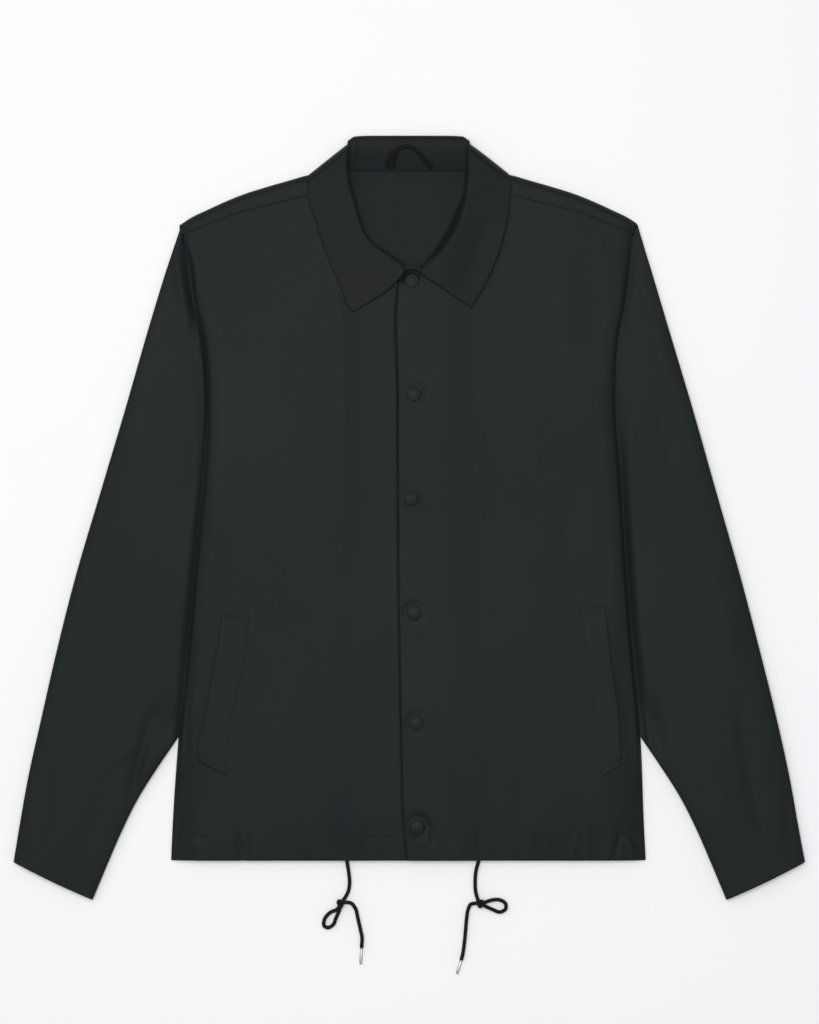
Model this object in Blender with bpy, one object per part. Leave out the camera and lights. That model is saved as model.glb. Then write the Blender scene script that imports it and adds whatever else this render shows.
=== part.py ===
# Coach jacket of dark nylon, laid flat on its back with its front up.
# +X is to the right as the front is seen, +Y is towards the collar, +Z is up and the floor is z = 0.
# Sizes are in millimetres until a mesh is made. "across" is a distance from the centre line, on either side.
# "right" and "left" are the wearer's: the right side lies at -X and the left side at +X.
import math

import bpy
import numpy as np
from mathutils import Vector
from mathutils.bvhtree import BVHTree

MM = 0.001

# Thicknesses and clearances
CLOTH = 1.4
GAP = 0.3
SEAM_GAP = 0.4          # between a front's upper edge and the yoke
LAID_GAP = 0.4          # under a welt
EDGE_DROP = 0.95        # how far a rolled edge hangs below its outer point
FLOOR_EDGE = 1.15       # outer point of an edge that rolls down to the floor

# Heights above the floor
SLEEVE_FOLD = 2.6       # middle of the sleeve's folded edges
SLEEVE_PRESSED = 5.5    # top of a sleeve where the front lies on it
SLEEVE_VALLEY = 16.0    # how far outside the front's edge the sleeve stays pressed
SLEEVE_RISE = 40.0      # how far it then takes to rise to its crest
COLLAR_BULGE = 3.2      # how far the collar stands up along its fold
COLLAR_ROLL = 5.5       # width of the roll along that fold
SHOULDER_ROLL = 12.0    # width of the roll at the shoulder line
COLLAR_END_ROLL = 9.0   # width of the roll where the collar turns to the back
SIDE_ROLL = 20.0        # width of the roll at the body's side edges
PLATEAU = 10.0          # top of the fronts round the neck

# Hem of the body, and the heights between which its side comes to lie on the sleeve
HEM_Y = -354.5
ON_SLEEVE_Y = (-285.0, -240.0)

# The left front laps over the right one: how much higher it lies, and the shares of its width where that ends
LAP = 1.8
LAP_SHARES = (0.19, 0.34)

# Snap caps, and their section as shares of the radius and the height
SNAP_RADIUS = 7.2
SNAP_HEIGHT = 2.6
SNAP_SECTION = ((0.0, 0.0), (0.94, 0.0), (1.0, 0.25), (1.0, 0.5), (0.84, 0.82), (0.45, 0.97), (0.0, 1.0))
SNAP_SIDES = 16

# Pocket welts
WELT_CLOTH = 1.3
WELT_ROWS = 11
WELT_COLUMNS = 4

# Hanger loop
LOOP_WIDTH = 5.6
LOOP_THICKNESS = 1.2
LOOP_ROWS = 17

# Drawcord
CORD_RADIUS = 2.0
CORD_SPACING = {"lead": 8.0, "loop": 4.5, "tail": 6.0}
KNOT_SIZE = (4.7, 5.3, 4.0)
KNOT_CLEARANCE = 0.9
AGLET_RADIUS = 1.5
AGLET_FLOOR = 0.15
AGLET_GAP = 0.35
ROUND_SIDES = 12


def table(columns, *rows):
    """A short table with one row for each section, read back by the names of its columns."""
    return dict(zip(columns.split(), np.array(rows, float).T))


# Width of the laid body from the hem up to the shoulder corner
BODY_SIDE = table(
    "y right left",
    (-354.5, 246.5, 244.2),
    (-323.0, 245.1, 242.6),
    (-228.0, 238.9, 239.0),
    (-137.0, 229.6, 231.1),
    (-44.0, 221.6, 223.6),
    (48.0, 212.6, 218.3),
    (110.0, 209.4, 213.2),
    (193.0, 215.8, 217.2),
    (216.0, 221.4, 221.8),
    (262.0, 227.2, 227.2),
    (292.0, 233.2, 230.4),
    (304.0, 233.7, 233.7),
)

# Top of the fronts' flat from hem to neck
FRONT_CREST = table(
    "y height",
    (-354.5, 8.8),
    (-325.0, 10.4),
    (-270.0, 12.0),
    (-150.0, 12.6),
    (100.0, 12.6),
    (190.0, 11.6),
    (245.0, 10.0),
    (360.0, 10.0),
)

# Upper edge of a front: its neckline, then the forward shoulder seam
FRONT_TOP = table(
    "across y",
    (0.0, 258.0),
    (20.0, 259.0),
    (33.0, 263.5),
    (46.0, 272.0),
    (58.0, 288.0),
    (66.0, 308.0),
    (74.0, 334.5),
    (88.0, 334.0),
    (102.0, 332.8),
    (124.0, 327.2),
    (150.0, 320.6),
    (176.0, 313.6),
    (200.0, 304.2),
    (216.0, 298.0),
    (232.0, 292.0),
)

# Shoulder line, where the yoke folds over to the back
SHOULDER = table(
    "across y",
    (74.0, 350.0),
    (88.0, 350.6),
    (102.0, 351.4),
    (118.0, 350.0),
    (145.0, 342.4),
    (170.0, 334.6),
    (211.0, 317.0),
    (234.0, 304.2),
)

# Columns of a front's mesh, as distances along its upper edge and then back from its side, and rows as shares
FRONT_COLUMNS = (-8.0, 7.0, 20.0, 33.0, 46.0, 58.0, 66.0, 74.0, 88.0, 102.0, 124.0, 150.0, 176.0, 198.0)
FRONT_SIDE_COLUMNS = (15.0, 8.0, 3.0, 0.0)
FRONT_SIDE_TRIM = 2.0
FRONT_ROWS = (0.0, 0.02, 0.05, *np.linspace(0.09, 1.0, 19))
COLUMN_SPACE = 8.0

# The yoke starts beside the neck, and its mesh has rows at these shares of its depth
YOKE_NECK = 73.0
YOKE_ROWS = (0.0, 0.3, 0.52, 0.7, 0.84, 0.95, 1.0)

# Front edge of each front, measured from the centre line towards its own side
FRONT_EDGE = table(
    "y right left",
    (-354.5, -24.0, -1.5),
    (-320.0, -24.0, -4.6),
    (-212.0, -24.0, -7.7),
    (-99.0, -24.0, -9.8),
    (127.0, -24.0, -10.8),
    (243.0, -24.0, -9.8),
    (258.0, -24.0, -7.0),
)

# Folded edges of a sleeve, from the shoulder and from the underarm down to the cuff
SLEEVE_OUTER = table(
    "y right left",
    (300.0, 226.0, 226.0),
    (290.0, 238.5, 238.0),
    (250.0, 253.2, 251.6),
    (208.5, 265.9, 263.9),
    (105.3, 295.7, 294.7),
    (27.9, 318.8, 316.6),
    (-65.0, 346.2, 343.0),
    (-147.6, 366.9, 364.6),
    (-204.3, 379.8, 378.6),
    (-271.4, 394.7, 393.4),
    (-323.0, 403.8, 402.6),
    (-352.5, 408.2, 408.2),
)
SLEEVE_INNER = table(
    "across y",
    (146.0, 64.0),
    (160.0, -24.0),
    (182.0, -110.0),
    (209.0, -182.0),
    (238.6, -227.0),
    (262.0, -257.0),
    (280.5, -291.0),
    (298.0, -326.0),
    (313.0, -357.0),
    (327.6, -391.4),
)
ARMHOLE = table(
    "across y",
    (226.0, 300.0),
    (219.0, 262.0),
    (213.0, 216.0),
    (207.6, 190.0),
    (201.0, 120.0),
    (187.0, 86.0),
    (168.0, 71.0),
    (146.0, 64.0),
)
SLEEVE_CREST = table(
    "share height",
    (0.00, 5.6),
    (0.12, 8.0),
    (0.30, 11.0),
    (0.70, 11.0),
    (0.90, 9.6),
    (1.00, 8.4),
)

# A sleeve's section: how square it is, how full its top is, and how far its folds stay round
SLEEVE_SQUARENESS = 0.77
SLEEVE_ARCH = 0.72
SLEEVE_BEND = 0.55
SLEEVE_BEND_POWER = 1.5
SLEEVE_TURNS = 20
SLEEVE_ROWS = 17
CUFF_BOW = 1.0

# How far the back panel keeps clear of the sleeve's inner fold, the armhole, the shoulder line and the neck
BACK_SIDE_INSET = 1.0
BACK_SIDE_TOP_Y = -246.0
BACK_FROM_SLEEVE = (-3.4, 0.0)
BACK_FROM_ARMHOLE = (-2.2, 1.8)
BACK_FROM_SHOULDER = 2.4
BACK_SHOULDER_ENDS = (224.0, 76.0)
BACK_CORNER_DROP = 3.0
BACK_NECK = ((71.0, 347.4), (69.0, 358.4), (35.0, 359.2))
BACK_NECK_MIDDLE = (0.0, 359.2)

# The main crease of each sleeve, a soft trough between two points
SLEEVE_CREASE = {
    "right": {"start": (259.5, -205.0), "end": (283.0, -292.0), "depth": 2.4, "width": 11.0},
    "left": {"start": (344.2, -196.0), "end": (368.0, -335.0), "depth": 2.4, "width": 12.0},
}

# Collar ends: the fold round the neck, the outer edge, the front edge and the edge that turns to the back
COLLAR = {
    "right": {
        "fold": ((4.9, 259.6), (22.2, 273.0), (37.3, 283.0), (45.9, 294.0), (52.1, 310.6), (56.2, 327.6),
                 (60.9, 343.7), (63.3, 357.6), (63.3, 373.6), (60.6, 387.0)),
        "outer": ((57.8, 211.6), (62.6, 216.5), (68.0, 229.6), (74.3, 245.6), (82.0, 263.2), (89.3, 283.3),
                  (96.5, 305.5), (102.7, 324.0), (104.7, 341.6), (104.3, 354.2)),
        "front": ((4.9, 259.6), (5.9, 252.4), (12.9, 243.9), (22.2, 234.3), (41.2, 221.9), (57.8, 211.6)),
        "turn": ((60.6, 387.0), (68.0, 383.6), (80.0, 374.0), (104.3, 354.2)),
    },
    "left": {
        "fold": ((10.8, 257.0), (18.9, 264.2), (31.5, 275.5), (43.9, 293.1), (52.1, 311.7), (56.8, 330.8),
                 (58.6, 344.0), (59.4, 357.6), (59.6, 373.6), (60.4, 387.0)),
        "outer": ((63.5, 216.7), (66.5, 220.6), (77.3, 239.4), (86.8, 259.6), (93.1, 277.0), (97.8, 294.1),
                  (101.7, 311.7), (103.3, 330.8), (104.1, 346.8), (102.4, 355.4)),
        "front": ((10.8, 257.0), (13.4, 251.4), (28.4, 240.5), (45.7, 228.1), (63.5, 216.7)),
        "turn": ((60.4, 387.0), (68.0, 383.6), (80.0, 374.0), (102.4, 355.4)),
    },
}

# Rows of a collar end's mesh along its fold, columns across it, and its gap to the front
COLLAR_ROWS = (*np.linspace(0.0, 0.84, 9), 0.90, 0.95, 0.985, 1.0)
COLLAR_COLUMNS = (0.0, 0.05, 0.12, 0.25, 0.45, 0.65, 0.85, 1.0)
COLLAR_GAP = 0.45

# Section of the collar's back: the stand's inside, the roll at the top and the part on the floor
STAND_SECTION = table(
    "share height",
    (-0.05, 3.2),
    (0.12, 4.6),
    (0.36, 7.0),
    (0.60, 9.0),
    (0.78, 9.7),
    (0.91, 9.0),
    (0.98, 7.0),
    (1.00, 4.6),
    (0.97, 1.8),
    (0.90, 0.4),
    (0.80, 0.0),
    (0.45, 0.0),
    (0.08, 0.0),
)
STAND_SEAM_Y = 358.0
STAND_TOP_Y = 391.4
STAND_HALF_LOW = 66.0
STAND_HALF_HIGH = 57.6
STAND_DROOP = 3.2
STAND_COLUMNS = 9

# Pocket welts, upper to lower end: the side towards the sleeve and the stitched side
WELTS = {
    "right": {
        "outer": ((193.2, -98.8), (197.6, -134.2), (205.9, -177.0), (212.1, -214.7), (218.2, -236.0),
                  (217.8, -252.8)),
        "inner": ((165.6, -101.1), (168.6, -139.3), (176.6, -177.0), (184.5, -214.7), (188.3, -247.7),
                  (189.4, -267.3)),
    },
    "left": {
        "outer": ((201.2, -90.8), (204.9, -126.9), (211.0, -170.3), (214.9, -200.0), (216.6, -229.1),
                  (218.4, -257.0)),
        "inner": ((175.1, -96.0), (180.0, -130.0), (187.2, -177.5), (191.4, -210.5), (194.1, -245.6),
                  (199.7, -267.3)),
    },
}

SNAPS = table(
    "x y",
    (2.6, 243.6),
    (3.6, 126.9),
    (1.5, 18.6),
    (4.6, -99.1),
    (6.7, -212.6),
    (7.7, -319.9),
)

HANGER_ROUTE = ((-22.7, 361.4), (-22.0, 370.5), (-17.0, 377.6), (-10.8, 381.0), (-4.6, 381.9),
                (5.7, 380.4), (13.9, 375.6), (20.1, 368.6), (22.2, 361.4))

# Drawcord ends: x, y and z of the middle of the cord
CORDS = {
    "right": {
        "lead": ((-65.2, -349.0, 4.2), (-64.7, -355.2, 4.0), (-62.8, -368.4, 2.4), (-62.0, -378.4, 2.1),
                 (-63.3, -387.0, 2.1), (-66.6, -393.6, 2.6)),
        "knot": (-71.1, -399.4, 4.1),
        "loop": ((-74.4, -405.2, 3.0), (-82.5, -409.5, 2.1), (-88.2, -416.9, 2.1), (-88.2, -423.1, 2.1),
                 (-84.6, -424.8, 2.1), (-79.4, -422.2, 2.1), (-76.0, -414.7, 2.1), (-72.2, -405.6, 3.0)),
        "tail": ((-65.9, -398.7, 2.6), (-60.7, -399.4, 2.1), (-56.2, -404.5, 2.1), (-53.5, -414.7, 2.1),
                 (-50.6, -427.7, 2.1), (-49.1, -434.9, 2.1), (-49.4, -442.4, 2.1)),
        "aglet": ((-49.45, -442.7), (-50.6, -463.0)),
    },
    "left": {
        "lead": ((72.4, -349.0, 4.2), (71.5, -355.2, 4.0), (68.9, -365.3, 2.4), (67.9, -377.0, 2.1),
                 (68.4, -387.0, 2.1), (69.9, -393.4, 2.6)),
        "knot": (72.9, -399.4, 4.1),
        "loop": ((78.0, -398.4, 3.0), (85.6, -396.2, 2.1), (94.2, -396.4, 2.1), (99.4, -400.1, 2.1),
                 (99.4, -405.4, 2.1), (94.2, -408.6, 2.1), (85.6, -405.9, 2.1), (78.2, -402.4, 3.0)),
        "tail": ((68.0, -399.6, 2.6), (63.2, -400.8, 2.1), (60.7, -405.9, 2.1), (59.0, -416.1, 2.1),
                 (58.0, -427.7, 2.1), (56.9, -439.2, 2.1), (55.8, -447.9, 2.1), (54.4, -455.1, 2.1)),
        "aglet": ((54.3, -455.4), (49.0, -473.0)),
    },
}


def smooth(at, xs, ys):
    """Smooth curve through (xs, ys): cubics whose slope at each point is taken from both sides."""
    slope = np.gradient(ys, xs)
    at = np.clip(at, xs[0], xs[-1])
    k = np.clip(np.searchsorted(xs, at) - 1, 0, len(xs) - 2)
    span = xs[k + 1] - xs[k]
    t = (at - xs[k]) / span
    ends = (2 * t**3 - 3 * t**2 + 1) * ys[k] + (3 * t**2 - 2 * t**3) * ys[k + 1]
    return ends + span * ((t**3 - 2 * t**2 + t) * slope[k] + (t**3 - t**2) * slope[k + 1])


def along(points, share):
    """Points at the given shares of the length of the smooth curve through the given points."""
    points = np.asarray(points, float)
    steps = np.linalg.norm(np.diff(points, axis=0), axis=1)
    run = np.concatenate(([0.0], np.cumsum(steps)))
    return np.stack([smooth(share * run[-1], run, column) for column in points.T], axis=-1)


def step(value, start, end):
    """Smooth step: 0 up to start, 1 from end on."""
    t = np.clip((value - start) / (end - start), 0.0, 1.0)
    return t * t * (3.0 - 2.0 * t)


def roll(distance, width):
    """Quarter round: 0 at an edge and 1 from width on."""
    return np.sqrt(1.0 - (1.0 - np.clip(distance / width, 0.0, 1.0)) ** 2)


def patch(start, end, near, far, u, v):
    """Surface between four edge curves: start and end run with v, near and far run with u."""
    u, v = np.broadcast_arrays(u, v)
    sides = (1 - u)[..., None] * along(start, v) + u[..., None] * along(end, v)
    sides = sides + (1 - v)[..., None] * along(near, u) + v[..., None] * along(far, u)
    start, end = np.asarray(start, float), np.asarray(end, float)
    near_corners = (1 - u)[..., None] * start[0] + u[..., None] * end[0]
    far_corners = (1 - u)[..., None] * start[-1] + u[..., None] * end[-1]
    return sides - (1 - v)[..., None] * near_corners - v[..., None] * far_corners


def line_distance(points, start, end):
    """Distance of each point, in plan, from the stretch between start and end."""
    start, run = np.array(start), np.array(end) - np.array(start)
    share = np.clip(((points - start) @ run) / (run @ run), 0.0, 1.0)
    return np.linalg.norm(points - start - share[..., None] * run, axis=-1)


def body_side(y, side):
    """Distance from the centre line to the front's side edge at height y."""
    return smooth(y, BODY_SIDE["y"], BODY_SIDE[side])


def finish(name, colour, roughness, metallic=0.0):
    """Plain material of one colour."""
    made = bpy.data.materials.new(name)
    made.use_nodes = True
    shader = made.node_tree.nodes["Principled BSDF"]
    shader.inputs["Base Color"].default_value = (*colour, 1.0)
    shader.inputs["Roughness"].default_value = roughness
    shader.inputs["Metallic"].default_value = metallic
    return made


def add_object(name, points, faces, material):
    """One object from points in millimetres."""
    mesh = bpy.data.meshes.new(name)
    mesh.from_pydata((np.asarray(points, float).reshape(-1, 3) * MM).tolist(), [], faces)
    mesh.shade_smooth()
    mesh.set_sharp_from_angle(angle=math.radians(50))
    mesh.materials.append(material)
    thing = bpy.data.objects.new(name, mesh)
    bpy.context.scene.collection.objects.link(thing)
    return thing


def mirrored(grid):
    """The same grid on the other side of the centre line, still facing out."""
    return grid[:, ::-1] * np.array((-1.0, 1.0, 1.0))


def to_side(grid, side):
    """A grid made on the left side, brought to its own side."""
    return mirrored(grid) if side == "right" else grid


def moved_in(grid, distance):
    """The grid moved against its normals, which point from its columns' way towards its rows' way."""
    normal = np.cross(np.gradient(grid, axis=1), np.gradient(grid, axis=0))
    return grid - distance * normal / np.linalg.norm(normal, axis=-1, keepdims=True)


def shell(name, outer, inner, material, ring=False):
    """A wall between two grids, closed along its edges. A ring joins its last column to its first."""
    rows, columns = outer.shape[:2]
    count = rows * columns
    index = np.arange(count).reshape(rows, columns)
    if ring:
        index = np.column_stack((index, index[:, 0]))
    top = np.stack((index[:-1, :-1], index[:-1, 1:], index[1:, 1:], index[1:, :-1]), axis=-1)
    top = top.reshape(-1, 4)
    edges = [index[0], index[-1, ::-1]]
    if not ring:
        edges = [np.concatenate((index[0], index[1:, -1], index[-1, -2::-1], index[-2::-1, 0]))]
    strips = []
    for edge in edges:
        strips.append(np.stack((edge[1:], edge[:-1], edge[:-1] + count, edge[1:] + count), axis=-1))
    faces = np.concatenate((top, top[:, ::-1] + count, *strips))
    points = np.concatenate((outer.reshape(-1, 3), inner.reshape(-1, 3)))
    return add_object(name, points, faces.tolist(), material)


def cloth(name, grid, material, thickness=CLOTH):
    """A wall of cloth under a grid of its outer points."""
    return shell(name, grid, moved_in(grid, thickness), material)


def surface_of(*things):
    """Search tree over the named objects' faces, for laying other pieces on them."""
    points = []
    faces = []
    for thing in things:
        first = len(points)
        points += [vertex.co / MM for vertex in thing.data.vertices]
        faces += [[first + index for index in face.vertices] for face in thing.data.polygons]
    return BVHTree.FromPolygons(points, faces)


def heights_on(surface, plan, bare, reach=0.0):
    """Highest point of a surface under each plan point or within reach of it, or bare where there is none."""
    offsets = [(0.0, 0.0)]
    if reach:
        turns = np.linspace(0.0, math.tau, 8, endpoint=False)
        offsets += [(reach * math.cos(turn), reach * math.sin(turn)) for turn in turns]
    found = []
    for x, y in plan.reshape(-1, 2):
        best = None
        for across, up in offsets:
            hit = surface.ray_cast(Vector((x + across, y + up, 100.0)), Vector((0, 0, -1)))[0]
            if hit is not None:
                best = hit.z if best is None else max(best, hit.z)
        found.append(bare if best is None else best)
    return np.array(found).reshape(plan.shape[:-1])


def front_grid(side):
    """Outer points of a front, rows from the hem up and columns from its front edge to its side."""
    edge_top = FRONT_EDGE[side][-1]
    side_top = FRONT_TOP["across"][-1] - FRONT_SIDE_TRIM
    middle = np.array(FRONT_COLUMNS)
    near_side = side_top - np.array(FRONT_SIDE_COLUMNS)
    across_top = np.concatenate(([edge_top], middle[middle > edge_top + COLUMN_SPACE], near_side))
    share = (across_top - edge_top) / (side_top - edge_top)
    top = smooth(np.maximum(across_top, 0.0), FRONT_TOP["across"], FRONT_TOP["y"])
    rise = np.array(FRONT_ROWS)[:, None]
    y = HEM_Y + rise * (top - HEM_Y)
    edge = smooth(y, FRONT_EDGE["y"], FRONT_EDGE[side])
    width = body_side(y, side)
    x = edge + share * (width - edge)
    return np.stack((x, y, front_height(x, y, side, share)), axis=-1)


def front_height(x, y, side, share):
    """Flat crest, rolled down at the side on the sleeve or the back, and raised at the lap."""
    on_sleeve = step(y, *ON_SLEEVE_Y)
    low = CLOTH + GAP + EDGE_DROP + on_sleeve * (SLEEVE_PRESSED - CLOTH)
    crest = smooth(y, FRONT_CREST["y"], FRONT_CREST["height"])
    lap = LAP * (1.0 - step(share, *LAP_SHARES)) if side == "left" else 0.0
    return low + (crest - low) * roll(body_side(y, side) - x, SIDE_ROLL) + lap


def yoke_grid(front, side):
    """Outer points of a yoke end: from the front's upper edge back over the shoulder line to the floor."""
    seam = front[-1, front[-1, :, 0] >= YOKE_NECK]
    shoulder = smooth(seam[:, 0], SHOULDER["across"], SHOULDER["y"])
    share = np.array(YOKE_ROWS)[:, None]
    start = seam[:, 1] + SEAM_GAP
    y = start + share * (shoulder - start)
    z = FLOOR_EDGE + (seam[:, 2] - FLOOR_EDGE) * roll(shoulder - y, SHOULDER_ROLL)
    x = np.broadcast_to(seam[:, 0], y.shape)
    return np.stack((x, y, z), axis=-1)


def make_sleeve(side, material):
    """A flattened tube from the armhole to the cuff, on the floor, with a crest along its open part."""
    angle = np.linspace(0.0, math.tau, SLEEVE_TURNS, endpoint=False)[None, :]
    share = np.linspace(0.0, 1.0, SLEEVE_ROWS)[:, None]
    outer_fold = np.column_stack((SLEEVE_OUTER[side], SLEEVE_OUTER["y"]))
    inner_fold = np.column_stack((SLEEVE_INNER["across"], SLEEVE_INNER["y"]))
    armhole = np.column_stack((ARMHOLE["across"], ARMHOLE["y"]))
    cuff_middle = 0.5 * (outer_fold[-1] + inner_fold[-1]) - (0.0, CUFF_BOW)
    cuff = np.array((outer_fold[-1], cuff_middle, inner_fold[-1]))

    def ring_points(wall):
        """Rings with a squared-off oval section, made smaller all round by the wall."""
        width = np.linalg.norm(along(outer_fold, share) - along(inner_fold, share), axis=-1)
        across = 0.5 - 0.5 * np.sign(np.cos(angle)) * np.abs(np.cos(angle)) ** SLEEVE_SQUARENESS
        across = 0.5 + (across - 0.5) * (1.0 - 2.0 * wall / width)
        plan = patch(outer_fold, inner_fold, armhole, cuff, across, share)
        outside = plan[..., 0] - body_side(plan[..., 1], side)
        crest = smooth(share, SLEEVE_CREST["share"], SLEEVE_CREST["height"])
        open_part = step(outside, SLEEVE_VALLEY, SLEEVE_VALLEY + SLEEVE_RISE)
        top = SLEEVE_PRESSED + (crest - SLEEVE_PRESSED) * open_part
        crease = SLEEVE_CREASE[side]
        away = line_distance(plan, crease["start"], crease["end"])
        top = top - crease["depth"] * np.exp(-((away / crease["width"]) ** 2)) * open_part
        arch = np.abs(np.sin(angle)) ** SLEEVE_ARCH
        over = SLEEVE_FOLD + (top - SLEEVE_FOLD - wall) * arch
        bend = (1.0 - np.clip(np.abs(np.sin(angle)) / SLEEVE_BEND, 0.0, 1.0)) ** SLEEVE_BEND_POWER
        under = wall + (SLEEVE_FOLD - wall) * bend
        return np.concatenate((plan, np.where(np.sin(angle) >= 0, over, under)[..., None]), axis=-1)

    outer = to_side(ring_points(0.0), side)
    inner = to_side(ring_points(CLOTH), side)
    shell(f"sleeve_{side}", outer, inner, material, ring=True)


def back_outline(side):
    """Edge of the back panel: up the side, along the sleeve, round the armhole and shoulder to the neck."""
    lower = np.linspace(HEM_Y, BACK_SIDE_TOP_Y, 5)
    sides = np.column_stack((body_side(lower, side) - BACK_SIDE_INSET, lower))
    inner = np.column_stack((SLEEVE_INNER["across"], SLEEVE_INNER["y"]))
    inner = inner[inner[:, 1] > BACK_SIDE_TOP_Y][::-1]
    sleeve = along(inner, np.linspace(0.0, 0.93, 12)) + BACK_FROM_SLEEVE
    armhole = np.column_stack((ARMHOLE["across"], ARMHOLE["y"]))[::-1]
    armhole = along(armhole, np.linspace(0.0, 0.97, 17)) + BACK_FROM_ARMHOLE
    across = np.linspace(*BACK_SHOULDER_ENDS, 9)
    shoulder_y = smooth(across, SHOULDER["across"], SHOULDER["y"]) - BACK_FROM_SHOULDER
    shoulder_y[0] -= BACK_CORNER_DROP
    shoulder = np.column_stack((across, shoulder_y))
    return np.concatenate((sides, sleeve, armhole, shoulder, BACK_NECK))


def make_back(material):
    """The back panel, flat on the floor."""
    left = back_outline("left")
    right = back_outline("right")[::-1] * (-1.0, 1.0)
    outline = np.concatenate((left, [BACK_NECK_MIDDLE], right))
    count = len(outline)
    top = np.column_stack((outline, np.full(count, CLOTH)))
    floor = np.column_stack((outline, np.zeros(count)))
    ahead = [(index + 1) % count for index in range(count)]
    walls = [[index, index + count, ahead[index] + count, ahead[index]] for index in range(count)]
    faces = [list(range(count)), list(range(2 * count - 1, count - 1, -1))] + walls
    add_object("back", np.concatenate((top, floor)), faces, material)


def make_collar_end(side, support, material):
    """One collar end on the front and the yoke, rolled down at its neck fold and where it turns back."""
    edges = COLLAR[side]
    v = np.array(COLLAR_COLUMNS)[None, :]
    u = np.array(COLLAR_ROWS)[:, None]
    plan = patch(edges["front"], edges["turn"], edges["fold"], edges["outer"], u, v)
    facing = 1.0 if side == "left" else -1.0
    laid = heights_on(support, plan * (facing, 1.0), PLATEAU, reach=6.0) + COLLAR_GAP + CLOTH
    from_fold = np.linalg.norm(plan - plan[:, :1], axis=-1)
    high = laid + COLLAR_BULGE * (1.0 - step(v, 0.1, 0.95))
    lip = laid - CLOTH + EDGE_DROP
    z = lip + (high - lip) * roll(from_fold, COLLAR_ROLL)
    turn = edges["turn"]
    from_turn = np.minimum(line_distance(plan, turn[0], turn[1]), line_distance(plan, turn[1], turn[2]))
    from_turn = np.minimum(from_turn, line_distance(plan, turn[2], turn[3]))
    from_turn = np.where(u >= 1.0, 0.0, from_turn)
    z = FLOOR_EDGE + (z - FLOOR_EDGE) * roll(from_turn, COLLAR_END_ROLL)
    grid = np.concatenate((plan, z[..., None]), axis=-1)
    cloth(f"collar_{side}", to_side(grid, side), material)


def make_collar_stand(material):
    """The collar's back: from the neck seam up inside the stand, over the top and down to the floor."""
    share = STAND_SECTION["share"][:, None]
    height = STAND_SECTION["height"][:, None]
    half = STAND_HALF_LOW + (STAND_HALF_HIGH - STAND_HALF_LOW) * share
    x = half * np.linspace(-1.0, 1.0, STAND_COLUMNS)
    droop = STAND_DROOP * (x / STAND_HALF_HIGH) ** 4
    y = STAND_SEAM_Y + share * (STAND_TOP_Y - droop - STAND_SEAM_Y)
    grid = np.stack((x, y, np.broadcast_to(height, y.shape)), axis=-1)
    return cloth("collar_stand", grid, material)


def make_hanger_loop(support, material):
    """A flat tape sewn down at both ends below the collar's back and laid in an arch on it."""
    route = along(HANGER_ROUTE, np.linspace(0.0, 1.0, LOOP_ROWS))
    way = np.gradient(route, axis=0)
    way /= np.linalg.norm(way, axis=-1, keepdims=True)
    aside = np.column_stack((way[:, 1], -way[:, 0]))
    offsets = np.array((0.5, 0.0, -0.5)) * LOOP_WIDTH
    plan = route[None, :, :] + offsets[:, None, None] * aside[None, :, :]
    z = heights_on(support, plan, CLOTH, reach=2.0) + GAP + LOOP_THICKNESS
    grid = np.concatenate((plan, z[..., None]), axis=-1)
    lower = grid - (0.0, 0.0, LOOP_THICKNESS)
    shell("hanger_loop", grid, lower, material)


def make_welt(side, support, material):
    """A pocket welt laid on the front."""
    edges = WELTS[side]
    u = np.linspace(0.0, 1.0, WELT_COLUMNS)[None, :]
    v = np.linspace(1.0, 0.0, WELT_ROWS)[:, None]
    inner, outer = np.asarray(edges["inner"]), np.asarray(edges["outer"])
    plan = patch(inner, outer, (inner[0], outer[0]), (inner[-1], outer[-1]), u, v)
    facing = 1.0 if side == "left" else -1.0
    z = heights_on(support, plan * (facing, 1.0), PLATEAU, reach=3.0) + LAID_GAP
    grid = np.concatenate((plan, z[..., None]), axis=-1)
    raised = grid + (0.0, 0.0, WELT_CLOTH)
    shell(f"welt_{side}", to_side(raised, side), to_side(grid, side), material)


def turned(name, profile, sides, place, material):
    """A solid of revolution about Z from a profile of (radius, height), closed by a pole at each end."""
    profile = np.asarray(profile, float)
    turn = np.linspace(0.0, math.tau, sides, endpoint=False)
    rings = profile[1:-1]
    points = [
        (radius * math.cos(a), radius * math.sin(a), height) for radius, height in rings for a in turn
    ]
    points += [(0.0, 0.0, profile[0, 1]), (0.0, 0.0, profile[-1, 1])]
    bottom, top = len(points) - 2, len(points) - 1
    faces = []
    for k in range(sides):
        ahead = (k + 1) % sides
        faces.append([bottom, ahead, k])
        last = (len(rings) - 1) * sides
        faces.append([top, last + k, last + ahead])
        for ring in range(len(rings) - 1):
            low, high = ring * sides, (ring + 1) * sides
            faces.append([low + k, low + ahead, high + ahead, high + k])
    add_object(name, np.asarray(points) + place, faces, material)


def make_snaps(support, material):
    """Six domed snap caps on the front that lies on top."""
    profile = np.array(SNAP_SECTION) * (SNAP_RADIUS, SNAP_HEIGHT)
    plans = np.column_stack((SNAPS["x"], SNAPS["y"]))
    heights = heights_on(support, plans, PLATEAU, reach=SNAP_RADIUS) + GAP
    for number, (plan, z) in enumerate(zip(plans, heights), start=1):
        turned(f"snap_{number}", profile, SNAP_SIDES, (*plan, z), material)


def knot_edge(centre, toward):
    """Point on the knot's surface, with the clearance, in the direction of another point."""
    centre, toward = np.array(centre), np.array(toward)
    way = toward - centre
    reach = 1.0 / math.sqrt(((way / KNOT_SIZE) ** 2).sum())
    return centre + way * (reach + KNOT_CLEARANCE / np.linalg.norm(way))


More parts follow.
